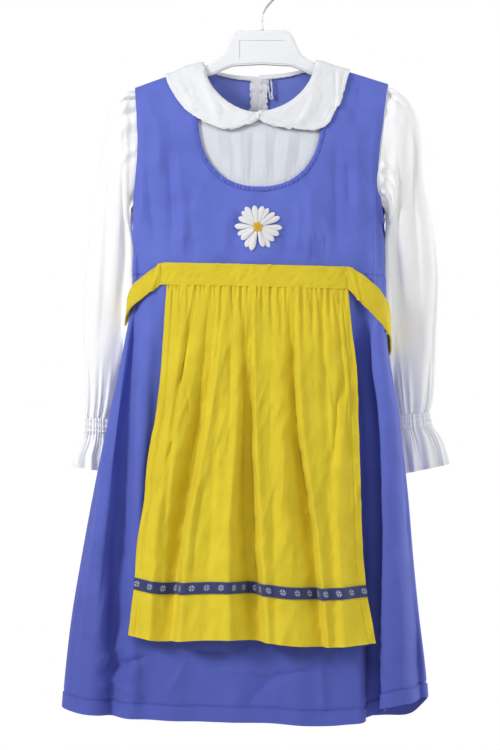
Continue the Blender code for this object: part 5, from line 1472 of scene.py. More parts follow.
def set_in(rings, hand):
    """Carries a sleeve's head in under the armhole's edge and brings it up against the cloth there."""
    inward = []
    for reach in (0.0080, 0.0050, 0.0025):
        ring = rings[0].copy()
        ring[:, 0] -= hand * reach
        inward.append(ring)
    rings = np.concatenate([np.array(inward), rings])
    across, y = np.abs(rings[..., 0]), rings[..., 1].copy()
    drop = np.clip(-rings[..., 2], SHOULDER_DROP, UNDERARM_DROP)
    deep = np.maximum(np.abs(y - y.mean(axis=1, keepdims=True)).max(axis=1, keepdims=True), 1e-4)
    for side in (-1, 1):
        edge = np.abs(armhole_x(drop, hand, side))
        room = np.maximum(cloth_depth(hand * edge, drop, side) - CLOTH - 0.0005, 0.001)
        share = np.clip(side * y / deep, 0, 1)
        meant = room * (1 - (1 - share) ** 2.4)
        near = 1 - ease((across - edge - 0.001) / 0.014)
        y = np.where(side * y > 0, y + side * near * (meant - side * y), y)
    rings[..., 1] = y
    return rings


def sleeve_piece(look, hand):
    """A sleeve, gathered at its head and its wrist, with long creases between."""
    around, along = 176, 100
    shares = np.linspace(0, 1, along) ** 1.12
    rings, angle = sleeve_rings(SLEEVES[hand], hand, around, shares, inside=True)
    rings = set_in(rings, hand)
    share = np.concatenate([np.zeros(len(rings) - along), shares])[:, None]
    ring_at = share * (len(SLEEVES[hand]["out_x"]) - 1)
    degrees = np.degrees(angle)[None, :]
    lift = np.zeros(rings.shape[:2])
    for k, row in enumerate(each_row(SLEEVE_CREASES)):
        gap = (degrees - row["angle"] + 14 * np.sin(ring_at * 0.55 + k) + 180) % 360 - 180
        run = ease((ring_at - row["first"]) / 2) * ease((row["last"] - ring_at) / 2)
        wide = row["wide"] * np.where(gap > 0, 1.35, 0.65)
        lift += row["deep"] * np.exp(-((gap / wide) ** 2)) * run
    head = ease(share / 0.05) * (1 - ease((share - 0.10) / 0.24))
    wrist = ease((share - 0.78) / 0.18)
    warped = uneven_angle(angle, hand)[None, :]
    strength = 0.6 + 0.4 * np.sin(3 * angle + hand)[None, :]
    lift += head * strength * (0.0025 * np.cos(15 * warped) + 0.0012 * np.cos(25 * warped + 1))
    lift += wrist * (0.0014 * np.cos(15 * warped + 0.6) + 0.0007 * np.cos(24 * warped))
    twist = warped * 0.045 / 1.6
    lift += 0.0009 * crumple(twist + 0.3, share * 0.46, 0.030, 41 + hand, 3.4)
    lift += 0.0003 * crumple(twist + 0.3, share * 0.46, 0.011, 51 + hand, 2.0)
    inner = np.exp(-(((degrees - 180) / 55) ** 2)) * ease((ring_at - 0.6) / 2) * ease((7.5 - ring_at) / 3)
    lift = lift * (1 - 0.5 * inner) + 0.0042 * inner
    lift *= ease(share / 0.03)
    sewn("sleeve_" + HAND_NAMES[hand], look, rings, lift, loop=True, level_rows=(-1,))


def cuff_piece(look, hand):
    """An elastic casing at the wrist, in three small bulges."""
    shares = np.linspace(0, 1, 17)
    rings, angle = sleeve_rings(CUFFS[hand], hand, 210, shares)
    warped = uneven_angle(angle, hand)[None, :]
    bulge = np.abs(np.sin(shares[:, None] * math.pi * 3))
    lift = 0.0010 * np.cos(34 * warped) * (0.35 + 0.65 * bulge) + 0.0008 * bulge
    lift += 0.0003 * np.cos(55 * warped + 1) * bulge
    form = {"loop": True, "out": -0.0014, "thick": 0.0012, "level_rows": (0, -1)}
    sewn("cuff_" + HAND_NAMES[hand], look, rings, lift, **form)


def frill_piece(look, hand, threads):
    """The waved frill below a cuff, stitched above its edge."""
    shares = np.concatenate([np.linspace(0, 0.9, 22), np.linspace(0.92, 1, 6)])
    rings, angle = sleeve_rings(FRILLS[hand], hand, 216, shares)
    warped = uneven_angle(angle, hand)[None, :]
    share = shares[:, None]
    lift = FRILL_WAVE_DEPTH * (0.15 + 0.85 * share) * np.cos(FRILL_WAVES * angle)[None, :]
    lift += 0.0010 * (1 - share) ** 1.5 * np.cos(34 * warped)
    lift += 0.0006 * share * np.cos(16 * warped + 1)
    stitched = -5
    lift[stitched] -= 0.0003
    lift[stitched + 1 :] += 0.0003
    _, face, normal = sewn("frill_" + HAND_NAMES[hand], look, rings, lift, loop=True, level_rows=(0,))
    closed = [np.concatenate([ring[stitched], ring[stitched, :1]]) for ring in (face, normal)]
    threads.row(*closed, *EDGE_STITCH)


def waistband_piece(look, threads):
    """The apron's band, stitched along both edges."""
    x = np.linspace(BAND_LEFT, BAND_RIGHT, 200)
    rise = np.array([0, 0.02, 0.06, 0.09, 0.12, 0.2, 0.3, 0.4])
    shares = np.concatenate([rise, [0.5, 0.6, 0.7, 0.8, 0.88, 0.91, 0.94, 0.98, 1]])
    stitched = [3, 13]
    points = np.array([draped(x, band_drop(x, share), -1) for share in shares])
    down = shares[:, None] * BAND_HEIGHT
    wide, down = np.broadcast_arrays(x, down)
    lift = 0.0007 * crumple(wide, down, 0.012, 61)
    lift += 0.0018 * (0.5 - np.abs(crumple(wide + 0.7 * down, down, 0.009, 62)))
    lift = lift * np.sin(np.clip(shares, 0.001, 0.999) * math.pi)[:, None] ** 0.5
    lift[stitched] -= 0.0007
    form = {"out": LAYER_GAP + 0.0006, "thick": BAND_THICK, "level_rows": (0, -1)}
    _, face, normal = sewn("apron_waistband", look, points, lift, **form)
    for row in stitched:
        threads.row(face[row], normal[row])


def gathers(x, drop):
    """Uneven pinches under the band, each running out at its own length."""
    rng = np.random.default_rng(73)
    total = np.zeros_like(x)
    below = np.maximum(drop - band_drop(x, 1), 0)
    count = 36
    for k in range(count):
        middle = BAND_LEFT + (BAND_RIGHT - BAND_LEFT) * (k + 0.5 + rng.uniform(-0.35, 0.35)) / count
        leaning = 0.18 * (middle + 0.009) + rng.uniform(-0.02, 0.02)
        wide = rng.uniform(0.0010, 0.0018) * (1 + 10 * below)
        deep = rng.uniform(0.0010, 0.0034)
        reach = rng.choice((0.012, 0.018, 0.026, 0.042))
        line = middle + leaning * below
        total -= deep * np.exp(-(((x - line) / wide) ** 2)) * (1 - ease(below / reach))
    return total


def apron_piece(look, threads):
    """The apron's skirt: its folds, pinches, creases and side hems, and a row tucked in under the band."""
    share = np.linspace(0, 1, 331)
    down = np.unique(np.concatenate([np.linspace(0, 0.10, 18), np.linspace(0.10, 1, 92)]))
    points = np.array([apron_points(share, d) for d in down])
    x, drop = points[..., 0], -points[..., 2]
    lift = gathers(x, drop) + strokes(x, drop, APRON_CREASES)
    lift += 0.0007 * crumple(x, drop, 0.020, 81, 2.2)
    aslant = (x + 0.35 * drop, drop - 0.35 * x)
    for size, strength, seed in ((0.024, 0.0025, 82), (0.013, 0.0015, 83), (0.007, 0.0006, 84)):
        lift += strength * (0.5 - np.abs(crumple(*aslant, size, seed, 1.8))) * ease((drop - 0.41) / 0.06)
    inward = np.minimum(share, 1 - share)[None, :]
    side = inward * (x[:, -1:] - x[:, :1])
    lift += -0.0009 * np.exp(-(((side - 0.0082) / 0.0012) ** 2)) + 0.0005 * ease((0.0085 - side) / 0.002)
    under_trim = ease((down - 0.80) / 0.03) * (1 - ease((down - 0.875) / 0.03))
    lift = lift * (1 - 0.9 * under_trim)[:, None]
    clear = 0.0010 + 0.0014 * ease(inward / 0.10) + 0.02 * ease((drop - 0.40) / 0.06)
    lift = np.maximum(lift, -clear)
    tucked = draped(x[0], drop[0] - 0.004, -1, 0.0012)
    points = np.concatenate([tucked[None], points])
    lift = np.concatenate([lift[:1] * 0, lift])
    _, face, normal = sewn("apron_skirt", look, points, lift)
    for column in (12, -13):
        threads.row(face[3:-2, column], normal[3:-2, column])


# A small woven flower: each mark is one float of pale thread.
MOTIF = (
    "..X.X..",
    ".XX.XX.",
    "XXX.XXX",
    "...X...",
    "XXX.XXX",
    ".XX.XX.",
    "..X.X..",
)
MOTIF_CELL = 0.00108
MOTIF_PITCH = 0.0184


def trim_piece(look, pale):
    """The woven ribbon, and its row of small flowers as floats of pale thread."""
    share = np.linspace(0, 1, 331)
    down = np.linspace(*TRIM_SHARES, 9)
    points = np.array([apron_points(share, d) for d in down])
    lift = 0.0002 * np.cos(np.linspace(-1, 1, len(down)) * math.pi / 2)[:, None]
    lift = np.broadcast_to(lift, points.shape[:2])
    form = {"out": LAYER_GAP, "thick": 0.0008}
    _, face, normal = shell("apron_trim_ribbon", look, ["apron_trim"], points, lift, **form)
    across, down_by = measured(face, False)
    floats = Threads()
    ends = across[len(down) // 2, [0, -1]]
    count = int((ends[1] - ends[0]) // MOTIF_PITCH)
    middles = ends.mean() + MOTIF_PITCH * (np.arange(count + 1) - count / 2)
    marks = [(r - 3, c - 3) for r, line in enumerate(MOTIF) for c, mark in enumerate(line) if mark == "X"]
    for middle in middles:
        for r, c in marks:
            u = middle + c * MOTIF_CELL
            if not ends[0] + 0.0006 < u < ends[1] - 0.0006:
                continue
            level = (0.5 + r * MOTIF_CELL / down_by[-1, 0]) * (len(down) - 1)
            j = int(level)
            spots = [between(u, across[row], face[row]) for row in (j, j + 1)]
            spot = spots[0] * (1 - level + j) + spots[1] * (level - j)
            way = unit(between(u + 0.0005, across[j], face[j]) - between(u - 0.0005, across[j], face[j]))
            up = between(u, across[j], normal[j])
            floats.add(spot, way, up, MOTIF_CELL * 1.05, 0.00052, flat=0.35)
    floats.make("ribbon_flowers", pale)


def tie_piece(look, hand, threads):
    """A tie, from under the band's end round the body to the knot."""
    columns = TIES[hand]
    at = np.linspace(0, 1, len(columns["turn"]))
    t = np.linspace(0, 1, 236)
    start = next(each_row(columns))
    under = {
        "turn": start["turn"] - np.array([4.2, 2.6, 1.0]),
        "top": np.full(3, start["top"] + 0.0004),
        "bottom": np.full(3, start["bottom"] - 0.0006),
        "off": np.array([0.0012, 0.0013, 0.0016]),
    }
    run = {name: np.concatenate([under[name], smooth(at, columns[name], t)]) for name in under}
    turn, top, bottom, off = np.radians(run["turn"]), run["top"], run["bottom"], run["off"]
    front = np.cos(turn) >= 0
    rows = []
    for share in (0, 0.04, 0.10, 0.2, 0.3, 0.4, 0.5, 0.6, 0.7, 0.8, 0.9, 0.96, 1):
        drop = top + (bottom - top) * share
        deep = np.where(front, read(BODY, "front", drop), read(BODY, "back", drop))
        x = hand * np.sin(turn) * (read(BODY, HAND_NAMES[hand], drop) + off)
        y = np.where(front, -1, 1) * (deep + off) * np.abs(np.cos(turn)) ** BOXINESS
        rows.append(np.stack([x, y, -drop], axis=1))
    points = np.array(rows)
    across, down = measured(points, False)
    lift = 0.0009 * crumple(across, down, 0.014, 91 + hand, 1.2)
    lift += 0.0009 * (0.5 - np.abs(crumple(across, down, 0.010, 92)))
    first_fold = 0.0030 if hand < 0 else 0.0060
    lift += 0.0016 * np.exp(-(((across - across[:, :1] - 0.006 - first_fold - 0.5 * down) / 0.0030) ** 2))
    lift[:, :5] = 0
    lift = np.maximum(lift, -0.0003)
    form = {"facing": points * (1, 1, 0), "out": 0, "thick": FOLDED_CLOTH}
    _, face, normal = sewn("apron_tie_" + HAND_NAMES[hand], look, points, lift, **form)
    for row in (2, -3):
        threads.row(face[row], normal[row])


def knot_piece(look):
    """The knot: a slanting wrap pulled tight over pleated cloth."""
    turn = np.linspace(0, 2 * math.pi, 92, endpoint=False)
    rise = np.linspace(0.06, math.pi - 0.06, 44)
    centre = knot_centre()
    slant = math.radians(24)
    rows = []
    for a in rise:
        across = math.sin(a) * np.cos(turn) * math.cos(slant) + math.cos(a) * math.sin(slant)
        wrap = 1 - ease((np.abs(across) - 0.46) / 0.12)
        fold = 0.93 + 0.20 * wrap + 0.045 * wrap * np.cos(2 * math.pi * across / 0.30)
        fold = fold + (1 - wrap) * 0.07 * np.cos(5 * math.cos(a) * math.pi + 1.4 * np.sin(turn))
        x = KNOT_HALF[0] * math.sin(a) * np.cos(turn) * fold
        y = KNOT_HALF[1] * math.sin(a) * np.sin(turn) * fold
        z = KNOT_HALF[2] * math.cos(a) * (0.85 + 0.15 * fold)
        rows.append(np.stack([centre[0] + x, centre[1] + y, centre[2] + z], axis=1))
    sewn("tie_knot", look, np.array(rows), loop=True)


def tail_piece(look, hand, threads):
    """A tie's free end, hanging from the knot."""
    down = np.linspace(0, 1, 130)
    swing = hand * (0.0052 + 0.0330 * down**1.1)
    half = 0.0044 + (TIE_WIDTH / 2 - 0.0044) * ease(down / 0.18)
    off = 0.0140 + 0.0015 * np.sin(down * 7 + hand) * down
    if hand > 0:
        off = off + 0.0065 * ease(down / 0.10)
    drop = KNOT_DROP + KNOT_HALF[2] + 2 * SEAM_GAP + TIE_TAIL * down * (1 if hand < 0 else 0.93)
    rows = []
    for k in np.linspace(-1, 1, 15):
        depth = read(BODY, "back", drop) + off + 0.0022 * k * np.sin(down * 5)
        rows.append(np.stack([MIDDLE + (swing + k * half), depth, -drop], axis=1))
    points = np.array(rows)
    across, wide = measured(points, False)
    lift = 0.0006 * crumple(across, wide, 0.013, 95 + hand, 1.2)
    lift += 0.0006 * np.cos(wide / 0.0052 * math.pi) * (1 - ease(down / 0.3))[None, :]
    form = {"facing": (0, 1, 0), "out": 0, "thick": FOLDED_CLOTH}
    _, face, normal = sewn("tie_tail_" + HAND_NAMES[hand], look, points, lift, **form)
    for row in (1, -2):
        threads.row(face[row, 4:], normal[row, 4:])


def petal_places(petal, rng):
    """Places (x, drop, height) of one padded petal: its upper side and then its lower side."""
    angle = 2 * math.pi * (petal + 0.32 * rng.uniform(-1, 1)) / PETALS
    reach = DAISY_RADIUS * rng.uniform(0.86, 1.04)
    half = 0.0037 * rng.uniform(0.88, 1.16)
    level = 0.0003 + 0.0007 * (petal % 3)
    t = np.linspace(0, 1, PETAL_STEPS[0])
    radius = 0.0030 + (reach - 0.0030) * t
    tip = np.clip((t - 0.70) / 0.30, 0, 1)
    wide = half * (0.34 + 0.66 * np.minimum(t / 0.70, 1) ** 0.9) * np.sqrt(np.maximum(1 - tip**2, 0.004))
    places = []
    for upper in (True, False):
        for r, w, s in zip(radius, wide, t):
            for c in np.linspace(-1, 1, PETAL_STEPS[1]):
                x = DAISY_X + r * math.cos(angle) - w * c * math.sin(angle)
                drop = DAISY_DROP - r * math.sin(angle) - w * c * math.cos(angle)
                crown = (1 - abs(c) ** 2.2) * math.sin(min(s * 0.9 + 0.1, 1) * math.pi) ** 0.4
                groove = 0.00028 * math.exp(-((c / 0.16) ** 2))
                groove += 0.0002 * math.exp(-(((abs(c) - 0.5) / 0.12) ** 2))
                places.append((x, drop, level + (0.0012 * crown - groove * crown if upper else -0.0002)))
    return places


def petal_faces(first):
    """The faces of a petal whose places start at first."""
    long, wide = PETAL_STEPS
    size = long * wide
    faces = []
    for layer in (0, 1):
        base = first + layer * size
        for a in range(long - 1):
            for b in range(wide - 1):
                one, two = base + a * wide + b, base + (a + 1) * wide + b
                quad = [one, one + 1, two + 1, two]
                faces.append(quad if layer else quad[::-1])
    for a in range(long - 1):
        for b in (0, wide - 1):
            one, two = first + a * wide + b, first + (a + 1) * wide + b
            faces.append([one, two, two + size, one + size])
    for a in (0, long - 1):
        for b in range(wide - 1):
            one = first + a * wide + b
            faces.append([one, one + 1, one + 1 + size, one + size])
    return faces


def daisy_eye(look, rng):
    """A low boss covered with small knots."""
    centre = draped(np.array(DAISY_X), np.array(DAISY_DROP), -1)
    bm = bmesh.new()
    golden = math.pi * (3 - math.sqrt(5))
    for k in range(EYE_KNOTS):
        radius = DAISY_EYE * math.sqrt((k + 0.5) / EYE_KNOTS)
        size = 0.00085 * rng.uniform(0.85, 1.15)
        lift = 0.0024 + 0.0012 * (1 - (radius / DAISY_EYE) ** 2)
        made = bmesh.ops.create_icosphere(bm, subdivisions=1, radius=size)
        for vert in made["verts"]:
            vert.co.x += centre[0] + radius * math.cos(k * golden)
            vert.co.y += centre[1] - LAYER_GAP - lift
            vert.co.z += centre[2] + radius * math.sin(k * golden)
    boss = {"segments": 28, "radius1": DAISY_EYE, "radius2": DAISY_EYE * 0.8, "depth": 0.0030}
    made = bmesh.ops.create_cone(bm, cap_ends=True, **boss)
    for vert in made["verts"]:
        x, y, z = vert.co
        vert.co = (centre[0] + x, centre[1] - LAYER_GAP - 0.0013 - z, centre[2] + y)
    mesh = bpy.data.meshes.new("daisy_eye_knots")
    bm.to_mesh(mesh)
    bm.free()
    finish_piece("daisy_eye_knots", mesh, look, ["daisy_eye"])


def daisy_piece(petal_look, eye_look):
    """The daisy: separate padded petals, uneven in length, round an eye of small knots."""
    rng = np.random.default_rng(8)
    places, faces = [], []
    for petal in range(PETALS):
        faces += petal_faces(len(places))
        places += petal_places(petal, rng)
    flat = np.array(places)
    base = draped(flat[:, 0], flat[:, 1], -1)
    ahead = draped(flat[:, 0], flat[:, 1], -1, 0.001) - base
    base = base + ahead / 0.001 * (flat[:, 2:] + LAYER_GAP)
    mesh = bpy.data.meshes.new("daisy_petal_satin")
    mesh.from_pydata(base.tolist(), [], faces)
    turn_outwards(mesh)
    finish_piece("daisy_petal_satin", mesh, petal_look, ["daisy_petals"])
    daisy_eye(eye_look, rng)


def binding_piece(look):
    """The narrow binding round the neck, slightly uneven where it is gathered to the blouse."""
    halves = [round_neck(hand, (110, 90)) for hand in (-1, 1)]
    for hand, half in zip((-1, 1), halves):
        half[-1, 0] = MIDDLE + (0.0040 if hand < 0 else 0.0004)
    path = np.concatenate([halves[0][::-1], halves[1][1:]])
    along = unit(np.gradient(path, axis=0))
    side = unit(np.cross(along, (0, 0.25, 1.0)))
    up = np.cross(side, along)
    angle = 2 * math.pi * np.arange(14) / 14
    walked = walked_along(path)
    size = BINDING_HALF * (1 + 0.08 * crumple(walked, walked * 0, 0.004, 99))
    size = size * (1 + 0.8 * np.exp(-(((path[:, 0] - MIDDLE) / 0.0035) ** 2)) * (path[:, 1] < 0))
    tall = (1 + 0.65 * ease((path[:, 1] + 0.004) / 0.02))[:, None]
    spread = np.sin(angle)[None, :] * tall - (tall - 1)
    offset = np.cos(angle)[None, :, None] * side[:, None] + spread[..., None] * up[:, None]
    rings = path[:, None] + size[:, None, None] * offset
    sewn("neck_binding", look, rings, loop=True, out=-0.0008, thick=0.0008)


def placket_piece(look):
    """The strip behind the slit, gathered a little along its edges."""
    share = np.linspace(0, 1, 22)
    top = neck_edge(1, 1, NECK_SEAM)[1][-1]
    drops = np.linspace(top - 0.001, top + BACK_SLIT_LENGTH + 0.006, 90)
    ragged = 0.0011 * crumple(drops, drops * 0, 0.0040, 103)
    ragged += 0.0006 * crumple(drops, drops * 0, 0.0017, 104)
    left, right = PLACKET[0] + ragged, PLACKET[1] + 0.4 * ragged[::-1]
    x, down = np.broadcast_arrays(left[:, None] + (right - left)[:, None] * share, drops[:, None])
    points = cloth(x, down, 1, folded=False)
    edge = 1 - ease(np.minimum(share, 1 - share) / 0.2)[None, :]
    lift = 0.0005 * crumple(x, down, 0.005, 101) + 0.0007 * edge * crumple(x, down, 0.0030, 102)
    lift -= 0.0009 * np.exp(-(((x - MIDDLE - 0.0016) / 0.0009) ** 2)) + 0.0006
    form = {"facing": (0, 1, 0), "out": -2 * CLOTH - LAYER_GAP, "thick": 0.0008}
    sewn("slit_placket", look, points, lift, **form)


def loop_piece(look):
    """A narrow tape folded double, sewn down at its upper ends."""
    turn = np.linspace(0, math.pi, 15)
    run = np.linspace(0, 1, 16)
    top, low, gap = LOOP_DROPS[0], LOOP_DROPS[1], 0.0019
    x = np.concatenate([-gap + 0 * run, -gap * np.cos(turn[1:-1]), gap + 0 * run])
    drop = np.concatenate([top + (low - top) * run, low + gap * np.sin(turn[1:-1]), low + (top - low) * run])
    path = np.stack([LOOP_X + x + 0.10 * (drop - 0.128), drop], axis=1)
    way = unit(np.gradient(path, axis=0))
    aside = np.stack([way[:, 1], -way[:, 0]], axis=1)
    across = np.linspace(-LOOP_HALF, LOOP_HALF, 6)
    flat = path[None] + across[:, None, None] * aside[None]
    points = cloth(flat[..., 0], flat[..., 1], 1, False)
    lift = 0.0003 * crumple(flat[..., 0], flat[..., 1], 0.003, 105)
    form = {"facing": (0, 1, 0), "out": -3 * CLOTH - 2 * LAYER_GAP, "thick": 0.0007}
    shell("hanging_loop_tape", look, ["hanging_loop"], points, lift, **form)


def hanger_piece(look):
    """The moulded hanger: the CAD form with softly rounded edges and a shallower window."""
    mesh = frame["nodes"]["hanger"].data.copy()
    bm = bmesh.new()
    bm.from_mesh(mesh)
    bmesh.ops.remove_doubles(bm, verts=bm.verts, dist=1e-6)
    bmesh.ops.dissolve_limit(bm, angle_limit=math.radians(1), verts=bm.verts, edges=bm.edges)
    window = [v for v in bm.verts if abs(v.co.x) < WINDOW_HALF and WINDOW_Z[0] < v.co.z < WINDOW_Z[1]]
    for vert in window:
        if abs(vert.co.y) < HANGER_HALF - 0.0010:
            vert.co.y = math.copysign(HANGER_HALF - WINDOW_DEPTH, vert.co.y)
    window = set(window)
    sharp = [edge for edge in bm.edges if edge.is_manifold and edge.calc_face_angle() > math.radians(35)]
    sharp = [edge for edge in sharp if not window.issuperset(edge.verts)]
    bmesh.ops.bevel(bm, geom=sharp, offset=0.0011, segments=4, affect="EDGES", clamp_overlap=True)
    mesh.materials.clear()
    bm.to_mesh(mesh)
    bm.free()
    finish_piece("hanger_moulding", mesh, look, ["hanger"])
    mesh.set_sharp_from_angle(angle=math.radians(14))


def dress_node(node, look):
    """Gives a carried-over CAD node its material."""
    piece = frame["nodes"][node]
    piece.data.materials.clear()
    piece.data.materials.append(look[0])


# The cut of each sheet: width, length, area, how it is held, what it lies on or hangs from, and the
# pieces sewn to it.
CUTS = {
    "bodice_front_cloth": (0.34, 0.27, 0.061, "hung", ["hanger_moulding"], []),
    "bodice_back_left_cloth": (0.175, 0.275, 0.042, "hung", ["hanger_moulding"], []),
    "bodice_back_right_cloth": (0.175, 0.275, 0.043, "hung", ["hanger_moulding"], []),
    "scoop_casing": (0.010, 0.50, 0.0040, "gathered", ["bodice_front_cloth"], []),
    "skirt_front_cloth": (0.58, 0.56, 0.285, "hung", ["bodice_front_cloth"], ["blue_stitching"]),
    "skirt_back_cloth": (0.55, 0.56, 0.26, "hung", ["bodice_back_left_cloth", "bodice_back_right_cloth"], []),
    "blouse_front_cloth": (0.20, 0.165, 0.0195, "draped", ["bodice_front_cloth"], []),
    "collar_left_cloth": (
        0.13, 0.19, 0.0115, "draped", ["bodice_front_cloth", "bodice_back_left_cloth"], ["white_stitching"],
    ),
    "collar_right_cloth": (
        0.13, 0.19, 0.0115, "draped", ["bodice_front_cloth", "bodice_back_right_cloth"], [],
    ),
    "neck_binding_cloth": (0.012, 0.36, None, "folded", ["bodice_front_cloth"], []),
    "slit_placket_cloth": (0.024, 0.118, None, "hung", ["bodice_back_left_cloth"], ["hanging_loop_tape"]),
    "sleeve_left_cloth": (0.30, 0.42, 0.075, "hung", ["bodice_front_cloth"], []),
    "sleeve_right_cloth": (0.30, 0.42, 0.075, "hung", ["bodice_front_cloth"], []),
    "cuff_left_cloth": (0.24, 0.020, None, "gathered", ["sleeve_left_cloth"], []),
    "cuff_right_cloth": (0.24, 0.021, None, "gathered", ["sleeve_right_cloth"], []),
    "frill_left_cloth": (0.24, 0.045, None, "gathered", ["cuff_left_cloth"], []),
    "frill_right_cloth": (0.24, 0.050, None, "gathered", ["cuff_right_cloth"], []),
    "apron_waistband_cloth": (0.0275, 0.232, None, "draped", ["skirt_front_cloth"], []),
    "apron_skirt_cloth": (0.36, 0.46, None, "gathered", ["apron_waistband_cloth"], ["yellow_stitching"]),
    "apron_trim_ribbon": (0.015, 0.37, None, "laid", ["apron_skirt_cloth"], ["ribbon_flowers"]),
    "apron_tie_left_cloth": (0.026, 0.25, None, "draped", ["skirt_front_cloth"], []),
    "apron_tie_right_cloth": (0.028, 0.28, None, "draped", ["skirt_front_cloth"], []),
    "tie_knot_cloth": (0.026, 0.07, None, "folded", ["skirt_back_cloth"], []),
    "tie_tail_left_cloth": (0.026, 0.29, None, "hung", ["tie_knot_cloth"], []),
    "tie_tail_right_cloth": (0.026, 0.27, None, "hung", ["tie_knot_cloth"], []),
    "daisy_petal_satin": (0.059, 0.059, 0.0026, "laid", ["bodice_front_cloth"], ["daisy_eye_knots"]),
}


def sheets():
    """Goes through the cuts and looks up, by name, the pieces sewn to each; it records nothing."""
    shown = bpy.data.objects
    for name, (width, length, area, held, resting, sewn) in CUTS.items():
        [shown[other] for other in sewn]
        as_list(resting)


def area_light(name, place_at, size, energy):
    lamp = bpy.data.lights.new(name, "AREA")
    lamp.shape = "SQUARE"
    lamp.size = size
    lamp.energy = energy
    holder = bpy.data.objects.new(name, lamp)
    bpy.context.scene.collection.objects.link(holder)
    holder.location = place_at
    towards = Vector(LIGHT_TARGET) - Vector(place_at)
    holder.rotation_euler = towards.to_track_quat("-Z", "Y").to_euler()


def studio():
    """A white room with large soft lights, a pale floor far below the hem, and the camera."""
    scene = bpy.context.scene
    world = bpy.data.worlds.new("white room")
    world.use_nodes = True
    tree = world.node_tree
    background = tree.nodes["Background"]
    seen = tree.nodes.new("ShaderNodeLightPath").outputs["Is Camera Ray"]
    strength = maths(tree, "ADD", maths(tree, "MULTIPLY", seen, 1 - AMBIENT), AMBIENT)
    background.inputs["Color"].default_value = (1, 1, 1, 1)
    link(tree, strength, background.inputs["Strength"])
    scene.world = world
    scene.view_settings.view_transform = "Standard"
    scene.view_settings.look = "None"
    for light in LIGHTS:
        area_light(*light)
    floor_mesh = bpy.data.meshes.new("floor")
    bm = bmesh.new()
    bmesh.ops.create_circle(bm, cap_ends=True, segments=96, radius=FLOOR_RADIUS)
    bm.to_mesh(floor_mesh)
    bm.free()
    floor = bpy.data.objects.new("floor", floor_mesh)
    scene.collection.objects.link(floor)
    floor.location = (0, 0, -FLOOR_DROP)
    floor_mesh.materials.append(plain_look("pale floor", (0.80,) * 3, (0.84,) * 3, 0.8, scale=3))
    camera = bpy.data.cameras.new("camera")
    eye = bpy.data.objects.new("camera", camera)
    scene.collection.objects.link(eye)
    camera.sensor_width = SENSOR
    camera.lens = SENSOR * CAMERA_DISTANCE / PICTURE_HEIGHT
    eye.location = Vector(CAMERA_TARGET) - Vector((0, CAMERA_DISTANCE, 0))
    eye.rotation_euler = (math.pi / 2, 0, 0)
    camera.clip_end = 50
    scene.camera = eye


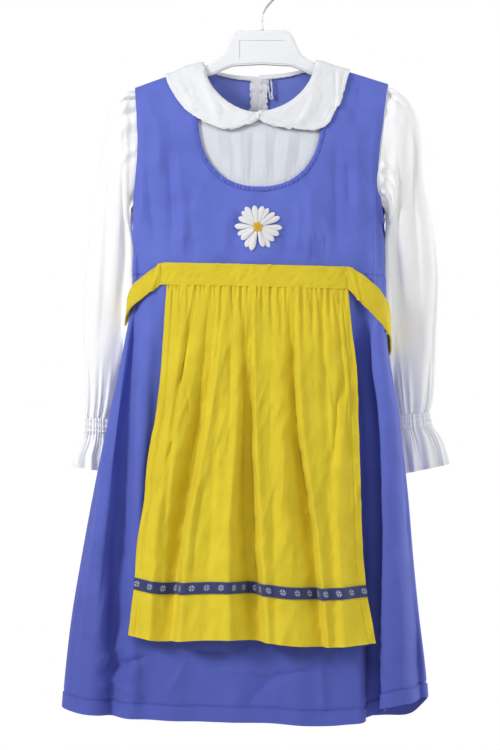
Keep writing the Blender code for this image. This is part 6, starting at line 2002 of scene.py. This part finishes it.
# Looks: who makes each, its material's name, its slot, its darker and its lighter colour, and the rest.
LOOKS = {
    # The blue cotton darkens towards the hem with painted shade.
    "blue": (
        cotton, "blue_cotton_look", "blue_cotton", (0.096, 0.133, 0.528), (0.119, 0.162, 0.610),
        {"sheen": 0.06, "hem_painted_shade": (0.60, 0.60, 0.71)},
    ),
    "white": (
        cotton, "white_cotton_look", "white_cotton", (0.75, 0.762, 0.80), (0.81, 0.818, 0.842), {"bump": 0.3},
    ),
    # The sleeves are the white cotton painted whiter: painted light where the thin cloth is lit through from
    # behind.
    "sleeve": (
        cotton, "sleeve_cotton_painted_light_look", "white_cotton", (0.87, 0.872, 0.880), (0.915, 0.916, 0.92),
        {"bump": 0.3},
    ),
    # A lighter blue for the back's inner side: painted light falling in through the neck opening.
    "inside": (
        cotton, "blue_cotton_inside_painted_light_look", "blue_cotton", (0.165, 0.215, 0.690), (0.195, 0.250, 0.760), {},
    ),
    # The blouse front is the white cotton painted greyer: painted shade where it lies back behind the scooped
    # edge.
    "blouse": (
        cotton, "blouse_front_painted_shade_look", "white_cotton", (0.61, 0.64, 0.70), (0.68, 0.71, 0.77), {"bump": 0.3},
    ),
    "yellow": (
        cotton, "yellow_cotton_look", "yellow_cotton", (0.625, 0.478, 0.011), (0.72, 0.572, 0.018),
        {"sheen": 0.03},
    ),
    "ribbon": (
        ribbon_look, "woven_ribbon_look", "woven_ribbon", (0.013, 0.021, 0.110), (0.060, 0.078, 0.240),
        {"width": 0.0150},
    ),
    "pale_thread": (
        plain_look, "pale_thread_look", None, (0.38, 0.42, 0.53), (0.50, 0.54, 0.63), {"roughness": 0.6},
    ),
    "blue_thread": (
        plain_look, "blue_thread_look", "blue_cotton", (0.055, 0.080, 0.400), (0.075, 0.105, 0.470),
        {"roughness": 0.6},
    ),
    "white_thread": (
        plain_look, "white_thread_look", "white_cotton", (0.74, 0.74, 0.75), (0.82, 0.82, 0.83),
        {"roughness": 0.6},
    ),
    "yellow_thread": (
        plain_look, "yellow_thread_look", "yellow_cotton", (0.50, 0.36, 0.015), (0.60, 0.44, 0.020),
        {"roughness": 0.6},
    ),
    "satin": (
        cotton, "daisy_satin_look", "white_cotton", (0.68, 0.68, 0.70), (0.76, 0.76, 0.78),
        {"yarn": 0.0004, "bump": 0.5, "roughness": 0.5},
    ),
    "gold": (
        plain_look, "gold_thread_look", "gold_thread", (0.72, 0.42, 0.03), (0.86, 0.58, 0.06),
        {"roughness": 0.55},
    ),
    "plastic": (
        plain_look, "frosted_plastic_look", "frosted_plastic", (0.82, 0.83, 0.86), (0.86, 0.87, 0.90),
        {"roughness": 0.35, "scale": 8, "bump": 0.05},
    ),
    "steel": (
        plain_look, "steel_wire_look", "steel_wire", (0.44, 0.44, 0.45), (0.52, 0.52, 0.53),
        {"roughness": 0.42, "metallic": 0.4},
    ),
    "button": (
        plain_look, "button_look", "button", (0.80, 0.80, 0.78), (0.86, 0.86, 0.84), {"roughness": 0.25},
    ),
}


def main():
    looks = {
        key: (make(name, dark, light, **rest), slot)
        for key, (make, name, slot, dark, light, rest) in LOOKS.items()
    }
    blue, white, sleeve, yellow = (looks[key] for key in ("blue", "white", "sleeve", "yellow"))
    stitches = {key: Threads() for key in ("blue", "white", "yellow")}
    bodice_front_piece(blue)
    scoop_casing(blue, stitches["blue"])
    for side in (-1, 1):
        skirt_piece(blue, side, stitches["blue"])
    for hand in (-1, 1):
        bodice_back_piece(blue, hand, looks["inside"][0])
        collar_piece(white, hand, stitches["white"])
        sleeve_piece(sleeve, hand)
        cuff_piece(sleeve, hand)
        frill_piece(sleeve, hand, stitches["white"])
        tie_piece(yellow, hand, stitches["yellow"])
        tail_piece(yellow, hand, stitches["yellow"])
    bib_piece(looks["blouse"])
    binding_piece(white)
    placket_piece(white)
    loop_piece(white)
    waistband_piece(yellow, stitches["yellow"])
    apron_piece(yellow, stitches["yellow"])
    trim_piece(looks["ribbon"], looks["pale_thread"])
    knot_piece(yellow)
    daisy_piece(looks["satin"], looks["gold"])
    for colour, threads in stitches.items():
        threads.make(colour + "_stitching", looks[colour + "_thread"])
    dress_node("neck_button", looks["button"])
    hanger_piece(looks["plastic"])
    dress_node("hanger_stem", looks["plastic"])
    dress_node("hook", looks["steel"])
    sheets()
    studio()


main()
